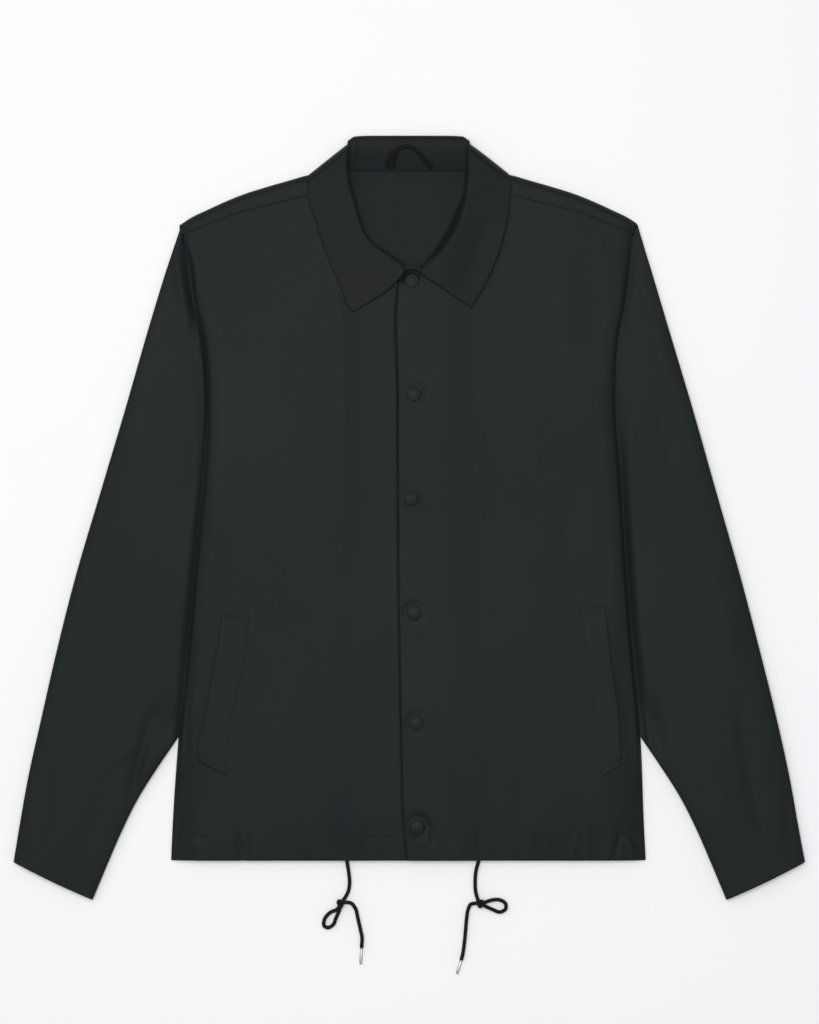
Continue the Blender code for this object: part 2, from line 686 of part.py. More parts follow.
def make_cord(name, route, spacing, material):
    """A round cord along a smooth curve through its route."""
    length = np.linalg.norm(np.diff(np.asarray(route), axis=0), axis=1).sum()
    points = along(route, np.linspace(0.0, 1.0, int(round(length / spacing)) + 1))
    curve = bpy.data.curves.new(name, "CURVE")
    curve.dimensions = "3D"
    curve.bevel_depth = CORD_RADIUS * MM
    curve.bevel_resolution = 2
    curve.use_fill_caps = True
    line = curve.splines.new("POLY")
    line.points.add(len(points) - 1)
    for vertex, point in zip(line.points, points):
        vertex.co = (*(point * MM), 1.0)
    curve.materials.append(material)
    thing = bpy.data.objects.new(name, curve)
    bpy.context.scene.collection.objects.link(thing)


def make_knot(name, centre, material):
    """A rounded knot."""
    steps = np.linspace(-math.pi / 2, math.pi / 2, 8)
    profile = [(math.cos(a), math.sin(a)) for a in steps]
    turned(name, profile, ROUND_SIDES, (0.0, 0.0, 0.0), material)
    for vertex in bpy.data.objects[name].data.vertices:
        vertex.co = [value * size + place * MM for value, size, place in zip(vertex.co, KNOT_SIZE, centre)]


def make_aglet(name, start, end, material):
    """A thin metal tube pressed on the cord's end, lying on the floor."""
    start, end = np.array(start), np.array(end)
    length = np.linalg.norm(end - start)
    way = (end - start) / length
    profile = (
        (0.0, 0.0),
        (0.86 * AGLET_RADIUS, 0.0),
        (AGLET_RADIUS, 0.6),
        (AGLET_RADIUS, length - 1.4),
        (0.62 * AGLET_RADIUS, length),
        (0.0, length),
    )
    turned(name, profile, ROUND_SIDES, (0.0, 0.0, 0.0), material)
    aside = np.array((-way[1], way[0]))
    for vertex in bpy.data.objects[name].data.vertices:
        x, y, z = vertex.co / MM
        plan = start + way * z + aside * x
        vertex.co = Vector((plan[0], plan[1], AGLET_RADIUS + AGLET_FLOOR + y)) * MM


def make_drawcord(side, cord_material, metal):
    """One end of the hem's drawcord: from the hem to a knot with a loop, and on to a metal tip."""
    parts = CORDS[side]
    centre = parts["knot"]
    lead = [*parts["lead"][:-1], knot_edge(centre, parts["lead"][-1])]
    loop = [knot_edge(centre, parts["loop"][0]), *parts["loop"][1:-1], knot_edge(centre, parts["loop"][-1])]
    tail = [knot_edge(centre, parts["tail"][0]), *parts["tail"][1:]]
    for stretch, route in (("lead", lead), ("loop", loop), ("tail", tail)):
        make_cord(f"drawcord_{stretch}_{side}", route, CORD_SPACING[stretch], cord_material)
    make_knot(f"knot_{side}", centre, cord_material)
    way = np.array(parts["aglet"][1]) - np.array(parts["aglet"][0])
    start = np.array(parts["aglet"][0]) + AGLET_GAP * way / np.linalg.norm(way)
    make_aglet(f"aglet_{side}", start, parts["aglet"][1], metal)


for leftover in list(bpy.data.objects):
    bpy.data.objects.remove(leftover, do_unlink=True)

SHELL_NYLON = finish("shell_nylon", (0.023, 0.028, 0.029), 0.62)
INSIDE_NYLON = finish("inside_nylon", (0.020, 0.024, 0.025), 0.66)
COLLAR_NYLON = finish("collar_nylon", (0.022, 0.026, 0.028), 0.62)
LOOP_TAPE = finish("loop_tape", (0.024, 0.028, 0.029), 0.7)
SNAP_PAINT = finish("snap_paint", (0.030, 0.036, 0.037), 0.4)
CORD_BRAID = finish("cord_braid", (0.010, 0.010, 0.011), 0.8)
TIP_METAL = finish("tip_metal", (0.55, 0.55, 0.56), 0.3, 1.0)

make_back(INSIDE_NYLON)
panels = []
for wearer_side in ("right", "left"):
    front = front_grid(wearer_side)
    panels.append(cloth(f"front_{wearer_side}", to_side(front, wearer_side), SHELL_NYLON))
    yoke = yoke_grid(front, wearer_side)
    panels.append(cloth(f"yoke_{wearer_side}", to_side(yoke, wearer_side), SHELL_NYLON))
    make_sleeve(wearer_side, SHELL_NYLON)
laid_body = surface_of(*panels)
for wearer_side in ("right", "left"):
    make_collar_end(wearer_side, laid_body, COLLAR_NYLON)
    make_welt(wearer_side, laid_body, SHELL_NYLON)
    make_drawcord(wearer_side, CORD_BRAID, TIP_METAL)
stand = make_collar_stand(COLLAR_NYLON)
make_hanger_loop(surface_of(stand), LOOP_TAPE)
make_snaps(laid_body, SNAP_PAINT)
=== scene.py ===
# Coach jacket of dark nylon, laid flat on its back with its front up and its snaps closed.
# Sizes are in millimetres until a mesh is made. "across" is a distance from the centre line, on either side.
# "right" and "left" are the wearer's: the right side lies at -X and the left side at +X.
import math

import bpy
import numpy as np
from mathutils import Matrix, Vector


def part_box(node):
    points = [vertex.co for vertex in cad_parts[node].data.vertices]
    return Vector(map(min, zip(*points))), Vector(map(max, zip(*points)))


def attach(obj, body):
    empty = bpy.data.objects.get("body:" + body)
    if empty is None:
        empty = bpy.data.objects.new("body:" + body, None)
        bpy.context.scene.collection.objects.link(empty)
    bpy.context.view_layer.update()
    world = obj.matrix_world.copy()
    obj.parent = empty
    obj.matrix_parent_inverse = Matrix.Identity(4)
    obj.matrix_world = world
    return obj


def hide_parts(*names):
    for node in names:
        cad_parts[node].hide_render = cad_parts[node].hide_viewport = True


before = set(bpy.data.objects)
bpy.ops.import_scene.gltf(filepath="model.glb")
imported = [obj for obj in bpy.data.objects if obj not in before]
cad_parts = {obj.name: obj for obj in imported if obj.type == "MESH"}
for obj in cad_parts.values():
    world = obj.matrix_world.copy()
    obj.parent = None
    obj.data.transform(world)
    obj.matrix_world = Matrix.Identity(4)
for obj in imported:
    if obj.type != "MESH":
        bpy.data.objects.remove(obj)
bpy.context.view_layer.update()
MM = 0.001

# The table that the jacket is photographed on: a smooth white sheet under large soft lamps.
# The camera hangs straight above it, and the picture is a little over a metre tall.
CAMERA_HEIGHT = 3.2
CLOTH_LEVEL = 0.010
PICTURE_TALL = 1.0568
PICTURE_MIDDLE = 0.0052
TABLE_SIZE = 9.0
TABLE_WHITE = (0.93, 0.93, 0.93, 1.0)

bpy.context.scene.view_settings.view_transform = "Standard"
camera = bpy.data.objects.new("camera", bpy.data.cameras.new("camera"))
camera.data.lens = camera.data.sensor_width * (CAMERA_HEIGHT - CLOTH_LEVEL) / PICTURE_TALL
camera.location = (0.0, PICTURE_MIDDLE, CAMERA_HEIGHT)
bpy.context.scene.collection.objects.link(camera)
bpy.context.scene.camera = camera


def softbox(name, place, aim, size, power):
    """A square lamp at a place, turned so that it shines towards its aim."""
    lamp = bpy.data.lights.new(name, "AREA")
    lamp.shape = "SQUARE"
    lamp.size = size
    lamp.energy = power
    holder = bpy.data.objects.new(name, lamp)
    holder.location = place
    holder.rotation_euler = (Vector(aim) - Vector(place)).to_track_quat("-Z", "Y").to_euler()
    bpy.context.scene.collection.objects.link(holder)


softbox("lamp_over", (-0.25, 0.40, 3.6), (0.0, 0.0, 0.0), 2.3, 87.0)
softbox("lamp_upper_left", (-1.9, 1.3, 1.9), (0.0, 0.0, 0.0), 1.4, 8.0)

sky = bpy.data.worlds.new("studio")
sky.use_nodes = True
sky.node_tree.nodes["Background"].inputs["Color"].default_value = (0.99, 0.965, 1.04, 1.0)
sky.node_tree.nodes["Background"].inputs["Strength"].default_value = 0.40
bpy.context.scene.world = sky


def new_material(name, specular):
    """A new material, with its node tree and its shader set to the given specular level."""
    made = bpy.data.materials.new(name)
    made.use_nodes = True
    shader = made.node_tree.nodes["Principled BSDF"]
    shader.inputs["Specular IOR Level"].default_value = specular
    return made, made.node_tree, shader


half = TABLE_SIZE / 2
table_mesh = bpy.data.meshes.new("table_top")
table_mesh.from_pydata([(-half, -half, -0.0003), (half, -half, -0.0003), (half, half, -0.0003),
                        (-half, half, -0.0003)], [], [(0, 1, 2, 3)])
table_paper, _, paper = new_material("table_paper", 0.1)
paper.inputs["Base Color"].default_value = TABLE_WHITE
paper.inputs["Roughness"].default_value = 0.9
table_mesh.materials.append(table_paper)
table_top = bpy.data.objects.new("table_top", table_mesh)
bpy.context.scene.collection.objects.link(table_top)

# The drawcord of the hem: a round braid of black polyester yarn, about 4 mm thick, that runs inside the hem.
# Both ends come out below it, and each is tied in a knot with a loop and pressed into a thin steel tip.
CORD_RADIUS = 2.0
CORD_SIDES = 28
BRAID_STRANDS = 4
BRAID_PITCH = 3.4
BRAID_RELIEF = 0.16
KNOT_SIZE = (4.7, 5.3, 4.0)
KNOT_CORD = 1.75
TIP_RADIUS = 1.5
TIP_FLOOR = 0.15
TIP_SIDES = 32
TIP_OVER_CORD = 3.0
TIP_PROFILE = ((0.0, 0.3), (1.12, 0.3), (1.38, 0.45), (TIP_RADIUS, 0.8), (TIP_RADIUS, 4.0), (1.36, 4.5),
               (1.36, 5.1), (TIP_RADIUS, 5.6))
TIP_END_PROFILE = np.array(((TIP_RADIUS, -2.2), (1.34, -0.8), (0.9, -0.15), (0.0, 0.0)))
CORD_POINTS = 160
CORD_FLOOR = 0.05
CORDS = {
    "right": {
        "lead": ((-65.2, -349.0, 4.2), (-64.7, -355.2, 4.0), (-62.8, -368.4, 2.4), (-62.0, -378.4, 2.1),
                 (-63.3, -387.0, 2.1), (-66.6, -393.6, 2.6)),
        "knot": (-71.1, -399.4, 4.1),
        "loop": ((-74.4, -405.2, 3.0), (-82.5, -409.5, 2.1), (-88.2, -416.9, 2.1), (-88.2, -423.1, 2.1),
                 (-84.6, -424.8, 2.1), (-79.4, -422.2, 2.1), (-76.0, -414.7, 2.1), (-72.2, -405.6, 3.0)),
        "tail": ((-65.9, -398.7, 2.6), (-60.7, -399.4, 2.1), (-56.2, -404.5, 2.1), (-53.5, -414.7, 2.1),
                 (-50.6, -427.7, 2.1), (-49.1, -434.9, 2.1), (-49.4, -442.4, 2.1)),
        "tip": ((-49.45, -442.7), (-50.6, -463.0)),
    },
    "left": {
        "lead": ((72.4, -349.0, 4.2), (71.5, -355.2, 4.0), (68.9, -365.3, 2.4), (67.9, -377.0, 2.1),
                 (68.4, -387.0, 2.1), (69.9, -393.4, 2.6)),
        "knot": (72.9, -399.4, 4.1),
        "loop": ((78.0, -398.4, 3.0), (85.6, -396.2, 2.1), (94.2, -396.4, 2.1), (99.4, -400.1, 2.1),
                 (99.4, -405.4, 2.1), (94.2, -408.6, 2.1), (85.6, -405.9, 2.1), (78.2, -402.4, 3.0)),
        "tail": ((68.0, -399.6, 2.6), (63.2, -400.8, 2.1), (60.7, -405.9, 2.1), (59.0, -416.1, 2.1),
                 (58.0, -427.7, 2.1), (56.9, -439.2, 2.1), (55.8, -447.9, 2.1), (54.4, -455.1, 2.1)),
        "tip": ((54.3, -455.4), (49.0, -473.0)),
    },
}


def smooth(at, xs, ys):
    """Smooth curve through (xs, ys): a cubic between each two points, with slopes taken from both sides."""
    slope = np.gradient(ys, xs)
    at = np.clip(at, xs[0], xs[-1])
    k = np.clip(np.searchsorted(xs, at) - 1, 0, len(xs) - 2)
    span = xs[k + 1] - xs[k]
    t = (at - xs[k]) / span
    ends = (2 * t**3 - 3 * t**2 + 1) * ys[k] + (3 * t**2 - 2 * t**3) * ys[k + 1]
    return ends + span * ((t**3 - 2 * t**2 + t) * slope[k] + (t**3 - t**2) * slope[k + 1])


def added_up(steps):
    """Running totals of the steps, from 0 on."""
    return np.concatenate(([0.0], np.cumsum(steps)))


def runs(points):
    """Distance along a line of points from its first point to each of them."""
    return added_up(np.linalg.norm(np.diff(points, axis=0), axis=1))


def along(points, share):
    """Points at the given shares of the length of the smooth curve through the given points."""
    points = np.asarray(points, float)
    run = runs(points)
    return np.stack([smooth(share * run[-1], run, column) for column in points.T], axis=-1)


def add_piece(name, points, faces, material, nodes=(), corner_uv=None):
    """One object of the jacket from points in millimetres, standing for the named CAD nodes."""
    mesh = bpy.data.meshes.new(name)
    mesh.from_pydata((np.asarray(points).reshape(-1, 3) * MM).tolist(), [], faces)
    if corner_uv is not None:
        mesh.uv_layers.new(name="cloth").data.foreach_set("uv", corner_uv.astype(np.float32).ravel())
    mesh.materials.append(material)
    mesh.shade_smooth()
    piece = bpy.data.objects.new(name, mesh)
    bpy.context.scene.collection.objects.link(piece)
    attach(piece, "root")
    if nodes:
        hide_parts(*nodes)
    return piece


def quads(index):
    """Corners of the faces between neighbouring rows and columns of a grid of point numbers."""
    return np.stack((index[:-1, :-1], index[:-1, 1:], index[1:, 1:], index[1:, :-1]), axis=-1).reshape(-1, 4)


def unit(vectors):
    """The vectors, each made 1 long."""
    return vectors / np.linalg.norm(vectors, axis=-1, keepdims=True)


def rings_across(way, turn):
    """Circles of radius 1 that stand across the given directions, with one point to each turn."""
    aside = unit(np.cross(way, (0.0, 0.0, 1.0)))
    above = np.cross(aside, way)
    return np.cos(turn)[:, None] * aside[..., None, :] + np.sin(turn)[:, None] * above[..., None, :]


def tube(name, line, radius, material, nodes=(), spacing=0.7):
    """A braided round cord. Its radius at turn a and run s is
    radius − relief / 2 + relief × sin(4a + 2πs/pitch) × sin(4a − 2πs/pitch). Its section stands across the
    line and its ends are closed. The UV map is the way round and the way along, in metres."""
    line = np.asarray(line, float)
    run = runs(line)
    stations = np.linspace(0.0, run[-1], int(run[-1] / spacing) + 1)
    centre = np.stack([smooth(stations, run, column) for column in line.T], axis=-1)
    turn = np.linspace(0.0, math.tau, CORD_SIDES, endpoint=False)
    twist = math.tau * stations[:, None] / BRAID_PITCH
    strands = BRAID_STRANDS * turn[None, :]
    relief = BRAID_RELIEF * np.sin(strands + twist) * np.sin(strands - twist)
    distance = (radius - 0.5 * BRAID_RELIEF + relief)[..., None]
    ring = rings_across(unit(np.gradient(centre, axis=0)), turn)
    points = (centre[:, None, :] + distance * ring).reshape(-1, 3)
    rows = len(stations)
    wide = np.arange(rows * (CORD_SIDES + 1)).reshape(rows, CORD_SIDES + 1)
    faces = quads(wide)[:, ::-1]
    round_uv, along_uv = faces % (CORD_SIDES + 1), faces // (CORD_SIDES + 1)
    corner_uv = np.stack((round_uv * math.tau * radius / CORD_SIDES, stations[along_uv]), axis=-1) * MM
    faces = along_uv * CORD_SIDES + round_uv % CORD_SIDES
    ends = [list(range(CORD_SIDES)), list(range((rows - 1) * CORD_SIDES, rows * CORD_SIDES))[::-1]]
    corner_uv = np.concatenate((corner_uv.reshape(-1, 2), np.zeros((2 * CORD_SIDES, 2))))
    return add_piece(name, points, faces.tolist() + ends, material, nodes, corner_uv)


def lathe(name, profile, sides, axes, place, material, nodes=()):
    """A turned piece from a profile of (radius, height) whose first and last points are its poles.
    The axes are the directions of its two sides and of its height, and place is the point at height 0."""
    profile = np.asarray(profile, float)
    turn = np.linspace(0.0, math.tau, sides, endpoint=False)
    radius, height = profile[1:-1, :1], profile[1:-1, 1:]
    height = np.broadcast_to(height, (len(radius), sides))
    rings = np.stack((radius * np.cos(turn), radius * np.sin(turn), height), axis=-1)
    poles = np.array(((0.0, 0.0, profile[0, 1]), (0.0, 0.0, profile[-1, 1])))
    points = np.concatenate((rings.reshape(-1, 3), poles)) @ np.asarray(axes, float) + place
    index = np.arange(len(radius) * sides).reshape(len(radius), sides)
    index = np.column_stack((index, index[:, 0]))
    low, high = np.full(sides, index.max() + 1), np.full(sides, index.max() + 2)
    bottom = np.stack((low, index[0, 1:], index[0, :-1]), axis=-1)
    top = np.stack((high, index[-1, :-1], index[-1, 1:]), axis=-1)
    faces = quads(index).tolist() + bottom.tolist() + top.tolist()
    return add_piece(name, points, faces, material, nodes)


def new_group(name, inputs, outputs):
    """An empty shader node group with number inputs and their first values, and number outputs."""
    group = bpy.data.node_groups.new(name, "ShaderNodeTree")
    for label, kind, value in inputs:
        socket = group.interface.new_socket(name=label, in_out="INPUT", socket_type=kind)
        if value is not None:
            socket.default_value = value
    for label in outputs:
        group.interface.new_socket(name=label, in_out="OUTPUT", socket_type="NodeSocketFloat")
    return group, group.nodes.new("NodeGroupInput"), group.nodes.new("NodeGroupOutput")


def sum_node(tree, kind, first, second):
    """A Math node of two sockets or numbers, which gives back its output."""
    node = tree.nodes.new("ShaderNodeMath")
    node.operation = kind
    for socket, value in zip(node.inputs, (first, second)):
        if isinstance(value, bpy.types.NodeSocket):
            tree.links.new(value, socket)
        else:
            socket.default_value = value
    return node.outputs["Value"]


def noise_node(tree, vector, scale, detail):
    """A Noise node on the given coordinates, which gives back its number from 0 to 1."""
    node = tree.nodes.new("ShaderNodeTexNoise")
    node.inputs["Scale"].default_value = scale
    node.inputs["Detail"].default_value = detail
    tree.links.new(vector, node.inputs["Vector"])
    return node.outputs["Fac"]


def build_yarn_group():
    """Shader group for yarn. Weave = sin(πu/pitch) × sin(πv/pitch), the crossings of a plain weave.
    Rumple is a fine unevenness and Shade a slow one, both from noise on the piece's own place."""
    group, entry, exit_node = new_group(
        "yarn",
        (("Cloth UV", "NodeSocketVector", None), ("Place", "NodeSocketVector", None),
         ("Pitch", "NodeSocketFloat", 0.0006), ("Shade Scale", "NodeSocketFloat", 14.0),
         ("Rumple Scale", "NodeSocketFloat", 160.0)),
        ("Weave", "Rumple", "Shade"),
    )
    split = group.nodes.new("ShaderNodeSeparateXYZ")
    group.links.new(entry.outputs["Cloth UV"], split.inputs["Vector"])
    waves = []
    for axis in ("X", "Y"):
        turns = sum_node(group, "DIVIDE", split.outputs[axis], entry.outputs["Pitch"])
        waves.append(sum_node(group, "SINE", sum_node(group, "MULTIPLY", turns, math.pi), 0.0))
    weave = sum_node(group, "MULTIPLY", waves[0], waves[1])
    group.links.new(weave, exit_node.inputs["Weave"])
    for label, scale, detail in (("Rumple", "Rumple Scale", 3.0), ("Shade", "Shade Scale", 4.0)):
        found = noise_node(group, entry.outputs["Place"], 1.0, detail)
        group.links.new(entry.outputs[scale], found.node.inputs["Scale"])
        group.links.new(found, exit_node.inputs[label])
    return group


YARN = build_yarn_group()


def dress(tree, shader, tones, shade, rough, height, distance):
    """The shader's colour between two tones by the shade, its roughness, and its bump: the height times the
    distance, in metres. Shade, rough and height are sockets."""
    mix = tree.nodes.new("ShaderNodeMix")
    mix.data_type = "RGBA"
    mix.inputs["A"].default_value = (*tones[0], 1.0)
    mix.inputs["B"].default_value = (*tones[1], 1.0)
    tree.links.new(shade, mix.inputs["Factor"])
    tree.links.new(mix.outputs["Result"], shader.inputs["Base Color"])
    tree.links.new(rough, shader.inputs["Roughness"])
    bump = tree.nodes.new("ShaderNodeBump")
    bump.inputs["Distance"].default_value = distance
    tree.links.new(height, bump.inputs["Height"])
    tree.links.new(bump.outputs["Normal"], shader.inputs["Normal"])


def yarn_material(name, tones, roughness, pitch, weave, rumple, sheen=0.0, specular=0.1, patches=14.0):
    """Woven or braided yarn: the colour drifts slowly between two tones in patches, so many to the metre, and
    the bump is the weave and the rumple, each with its own height in metres."""
    made, tree, shader = new_material(name, specular)
    shader.inputs["Sheen Weight"].default_value = sheen
    shader.inputs["Sheen Roughness"].default_value = 0.45
    place = tree.nodes.new("ShaderNodeTexCoord")
    uv = tree.nodes.new("ShaderNodeUVMap")
    uv.uv_map = "cloth"
    yarn = tree.nodes.new("ShaderNodeGroup")
    yarn.node_tree = YARN
    yarn.inputs["Pitch"].default_value = pitch
    yarn.inputs["Shade Scale"].default_value = patches
    tree.links.new(uv.outputs["UV"], yarn.inputs["Cloth UV"])
    tree.links.new(place.outputs["Object"], yarn.inputs["Place"])
    rough = sum_node(tree, "MULTIPLY", yarn.outputs["Rumple"], 0.06)
    rough = sum_node(tree, "ADD", rough, roughness)
    height = sum_node(tree, "ADD", sum_node(tree, "MULTIPLY", yarn.outputs["Weave"], weave),
                      sum_node(tree, "MULTIPLY", yarn.outputs["Rumple"], rumple))
    dress(tree, shader, tones, yarn.outputs["Shade"], rough, height, 1.0)
    return made


def metal_material(name, colour, roughness, metallic, wear, specular=0.5):
    """Pressed metal, plain or painted, with fine scratches that change its roughness and small dents."""
    made, tree, shader = new_material(name, specular)
    shader.inputs["Metallic"].default_value = metallic
    place = tree.nodes.new("ShaderNodeTexCoord").outputs["Object"]
    fine = noise_node(tree, place, 900.0, 4.0)
    tones = [[part * (1.0 + change) for part in colour] for change in (-wear, wear)]
    rough = sum_node(tree, "ADD", sum_node(tree, "MULTIPLY", fine, wear), roughness)
    dress(tree, shader, tones, fine, rough, fine, 0.00002)
    return made


CORD_TONES = ((0.005, 0.005, 0.006), (0.007, 0.007, 0.008))
CORD_BRAID = yarn_material("cord_braid", CORD_TONES, 0.6, 0.0005, 0.00003, 0.00006, sheen=0.1)
TIP_STEEL = metal_material("tip_steel", (0.56, 0.56, 0.57), 0.24, 1.0, 0.12)


def knot_line(centre, size, cord):
    """The middle line of a tight overhand knot of the given size:
    x = sin t + 2 sin 2t, y = cos t − 2 cos 2t and z = −sin 3t."""
    t = np.linspace(0.0, math.tau, 60)
    line = np.stack((np.sin(t) + 2 * np.sin(2 * t), np.cos(t) - 2 * np.cos(2 * t), -np.sin(3 * t)), axis=-1)
    return line * (np.asarray(size) - cord) / (3.0, 3.0, 1.0) + centre


for side, route in CORDS.items():
    knot = knot_line(route["knot"], KNOT_SIZE, KNOT_CORD)
    knot_piece = tube(f"drawcord_knot_{side}", knot, KNOT_CORD, CORD_BRAID, (f"knot_{side}",))
    tip_start, tip_end = np.array(route["tip"], float)
    tip_long = np.linalg.norm(tip_end - tip_start)
    tip_way = (tip_end - tip_start) / tip_long
    tip_end_profile = (TIP_END_PROFILE + (0.0, tip_long)).tolist()
    tip_axes = ((0.0, 0.0, 1.0), (-tip_way[1], tip_way[0], 0.0), (*tip_way, 0.0))
    tip_place = (*tip_start, TIP_RADIUS + TIP_FLOOR)
    tip_piece = lathe(f"drawcord_tip_{side}", (*TIP_PROFILE, *tip_end_profile), TIP_SIDES, tip_axes,
                      tip_place, TIP_STEEL, (f"aglet_{side}",))
    inside_tip = (*(tip_start + TIP_OVER_CORD * tip_way), TIP_RADIUS + TIP_FLOOR)
    knotted = (*route["lead"], route["knot"], *route["loop"], route["knot"], *route["tail"])
    line = np.array((*knotted, inside_tip))
    fine_line = along(line, np.linspace(0.0, 1.0, CORD_POINTS))
    fine_line[:, 2] = np.maximum(fine_line[:, 2], CORD_RADIUS + CORD_FLOOR)
    cord_piece = tube(f"drawcord_{side}", fine_line, CORD_RADIUS, CORD_BRAID,
                      (f"drawcord_lead_{side}", f"drawcord_loop_{side}", f"drawcord_tail_{side}"))

# The back panel: one layer of the same thin nylon, whose inside shows in the neck opening.
# It lies flat on the table under everything else, and its underside has a few soft dents.
CLOTH = 1.0
CAD_CLOTH = 1.4
GAP = 0.3
EDGE_DROP = 0.95
HEM_EDGE = -354.5
STAND_SEAM_Y = 358.0
BACK_TOP = STAND_SEAM_Y + 2.4
BACK_INSIDE_SLEEVE = (-3.4, 0.0)
BACK_INSIDE_HOLE = (-2.2, 1.8)
BACK_UNDER_SHOULDER = 2.4
BACK_DRAPE = 0.25
WEAVE_PITCH = 0.0006
WEAVE_HEIGHT = 0.00002
NYLON_SHEEN = 0.02
INSIDE_TONES = ((0.0084, 0.0100, 0.0120), (0.0090, 0.0140, 0.0128))


def table(columns, *rows):
    """A short table with one row for each section, read back by the names of its columns."""
    return dict(zip(columns.split(), np.array(rows, float).T))


def pairs(rows):
    """The points of a table of two columns."""
    return np.column_stack(tuple(rows.values()))


def stretches(*parts):
    """One row of numbers from stretches of (first, last, count)."""
    return np.concatenate([np.linspace(*part) for part in parts])


BODY_SIDE = table(
    "y right left",
    (-354.5, 246.5, 244.2),
    (-323.0, 245.1, 242.6),
    (-228.0, 238.9, 239.0),
    (-137.0, 229.6, 231.1),
    (-44.0, 221.6, 223.6),
    (48.0, 212.6, 218.3),
    (110.0, 209.4, 213.2),
    (193.0, 215.8, 217.2),
    (216.0, 221.4, 221.8),
    (262.0, 227.2, 227.2),
    (292.0, 233.2, 230.4),
    (304.0, 233.7, 233.7),
)
SLEEVE_INNER = table(
    "across y",
    (146.0, 64.0),
    (160.0, -24.0),
    (182.0, -110.0),
    (209.0, -182.0),
    (238.6, -227.0),
    (259.0, -257.0),
    (280.5, -291.0),
    (298.0, -326.0),
    (311.4, -357.0),
    (327.4, -395.2),
)
ARMHOLE = table(
    "across y",
    (231.5, 303.0),
    (219.0, 262.0),
    (213.0, 216.0),
    (207.6, 190.0),
    (201.0, 120.0),
    (187.0, 86.0),
    (168.0, 71.0),
    (146.0, 64.0),
)
SHOULDER = table(
    "across y",
    (74.0, 350.0),
    (88.0, 352.2),
    (102.0, 354.2),
    (110.0, 352.6),
    (118.0, 350.2),
    (145.0, 342.4),
    (170.0, 334.6),
    (211.0, 317.0),
    (228.0, 308.6),
    (237.0, 302.4),
)
BACK_FOLDS = table(
    "x y to_x to_y bow height width",
    (-34.0, 330.0, -12.0, 268.0, 4.0, 0.7, 9.0),
    (28.0, 346.0, 41.0, 286.0, -5.0, 0.6, 8.0),
    (6.0, 300.0, 22.0, 250.0, 3.0, 0.5, 7.0),
    (-180.0, 250.0, -60.0, 120.0, 12.0, 0.8, 14.0),
    (150.0, 210.0, 40.0, 40.0, -10.0, 0.7, 16.0),
    (-120.0, -40.0, -170.0, -220.0, 9.0, 0.8, 15.0),
    (90.0, -80.0, 150.0, -260.0, -14.0, 0.7, 12.0),
    (-30.0, -150.0, 10.0, -330.0, 6.0, 0.6, 14.0),
)


def step(value, start, end):
    """Smooth step: 0 up to start, 1 from end on."""
    t = np.clip((value - start) / (end - start), 0.0, 1.0)
    return t * t * (3.0 - 2.0 * t)


def roll(distance, width):
    """Quarter round: 0 at an edge and 1 from width on."""
    return np.sqrt(1.0 - (1.0 - np.clip(distance / width, 0.0, 1.0)) ** 2)


def groove(distance, width):
    """A soft line of depth 1 where the distance is 0."""
    return np.exp(-((distance / width) ** 2))


def body_side(y, side):
    """Distance from the centre line to the front's side edge."""
    return smooth(y, BODY_SIDE["y"], BODY_SIDE[side])


def folds(x, y, rows):
    """Relief of soft creases. Each runs between two points, bows aside in its middle and fades to both ends:
    height × 4s(1 − s) × exp(−(distance / width)²), with half the width on its steep side."""
    relief = np.zeros(np.broadcast(x, y).shape)
    for at_x, at_y, to_x, to_y, bow, height, width in zip(*rows.values()):
        run = math.hypot(to_x - at_x, to_y - at_y)
        way_x, way_y = (to_x - at_x) / run, (to_y - at_y) / run
        share = ((x - at_x) * way_x + (y - at_y) * way_y) / run
        fade = np.clip(4.0 * share * (1.0 - share), 0.0, 1.0)
        aside = (y - at_y) * way_x - (x - at_x) * way_y - bow * fade
        relief = relief + height * fade * groove(aside, np.where(aside > 0.0, width, 0.5 * width))
    return relief


DRAPE_WAVES = table(
    "length turn start share",
    (260.0, 20.0, 0.3, 1.0),
    (190.0, 75.0, 1.9, 0.9),
    (145.0, 128.0, 4.1, 0.7),
    (118.0, 52.0, 2.6, 0.55),
    (92.0, 160.0, 5.2, 0.4),
    (71.0, 100.0, 0.9, 0.3),
    (53.0, 8.0, 3.4, 0.2),
)


def drape(x, y, height, start=0.0):
    """The slow unevenness of laid cloth: a sum of sine waves of seven lengths, each in its own direction."""
    relief = np.zeros(np.broadcast(x, y).shape)
    for length, turn, phase, share in zip(*DRAPE_WAVES.values()):
        turn = math.radians(turn)
        way = x * math.cos(turn) + y * math.sin(turn)
        bend = 0.6 * np.sin(math.tau * (x * math.sin(turn) - y * math.cos(turn)) / (2.3 * length) + start)
        relief = relief + share * np.sin(math.tau * way / length + phase + start + bend)
    return height * relief / 2.0


def moved_in(grid, distance):
    """The grid moved against its normals, which point from its columns' way towards its rows' way."""
    normal = np.cross(np.gradient(grid, axis=1), np.gradient(grid, axis=0))
    return grid - distance * normal / np.linalg.norm(normal, axis=-1, keepdims=True)


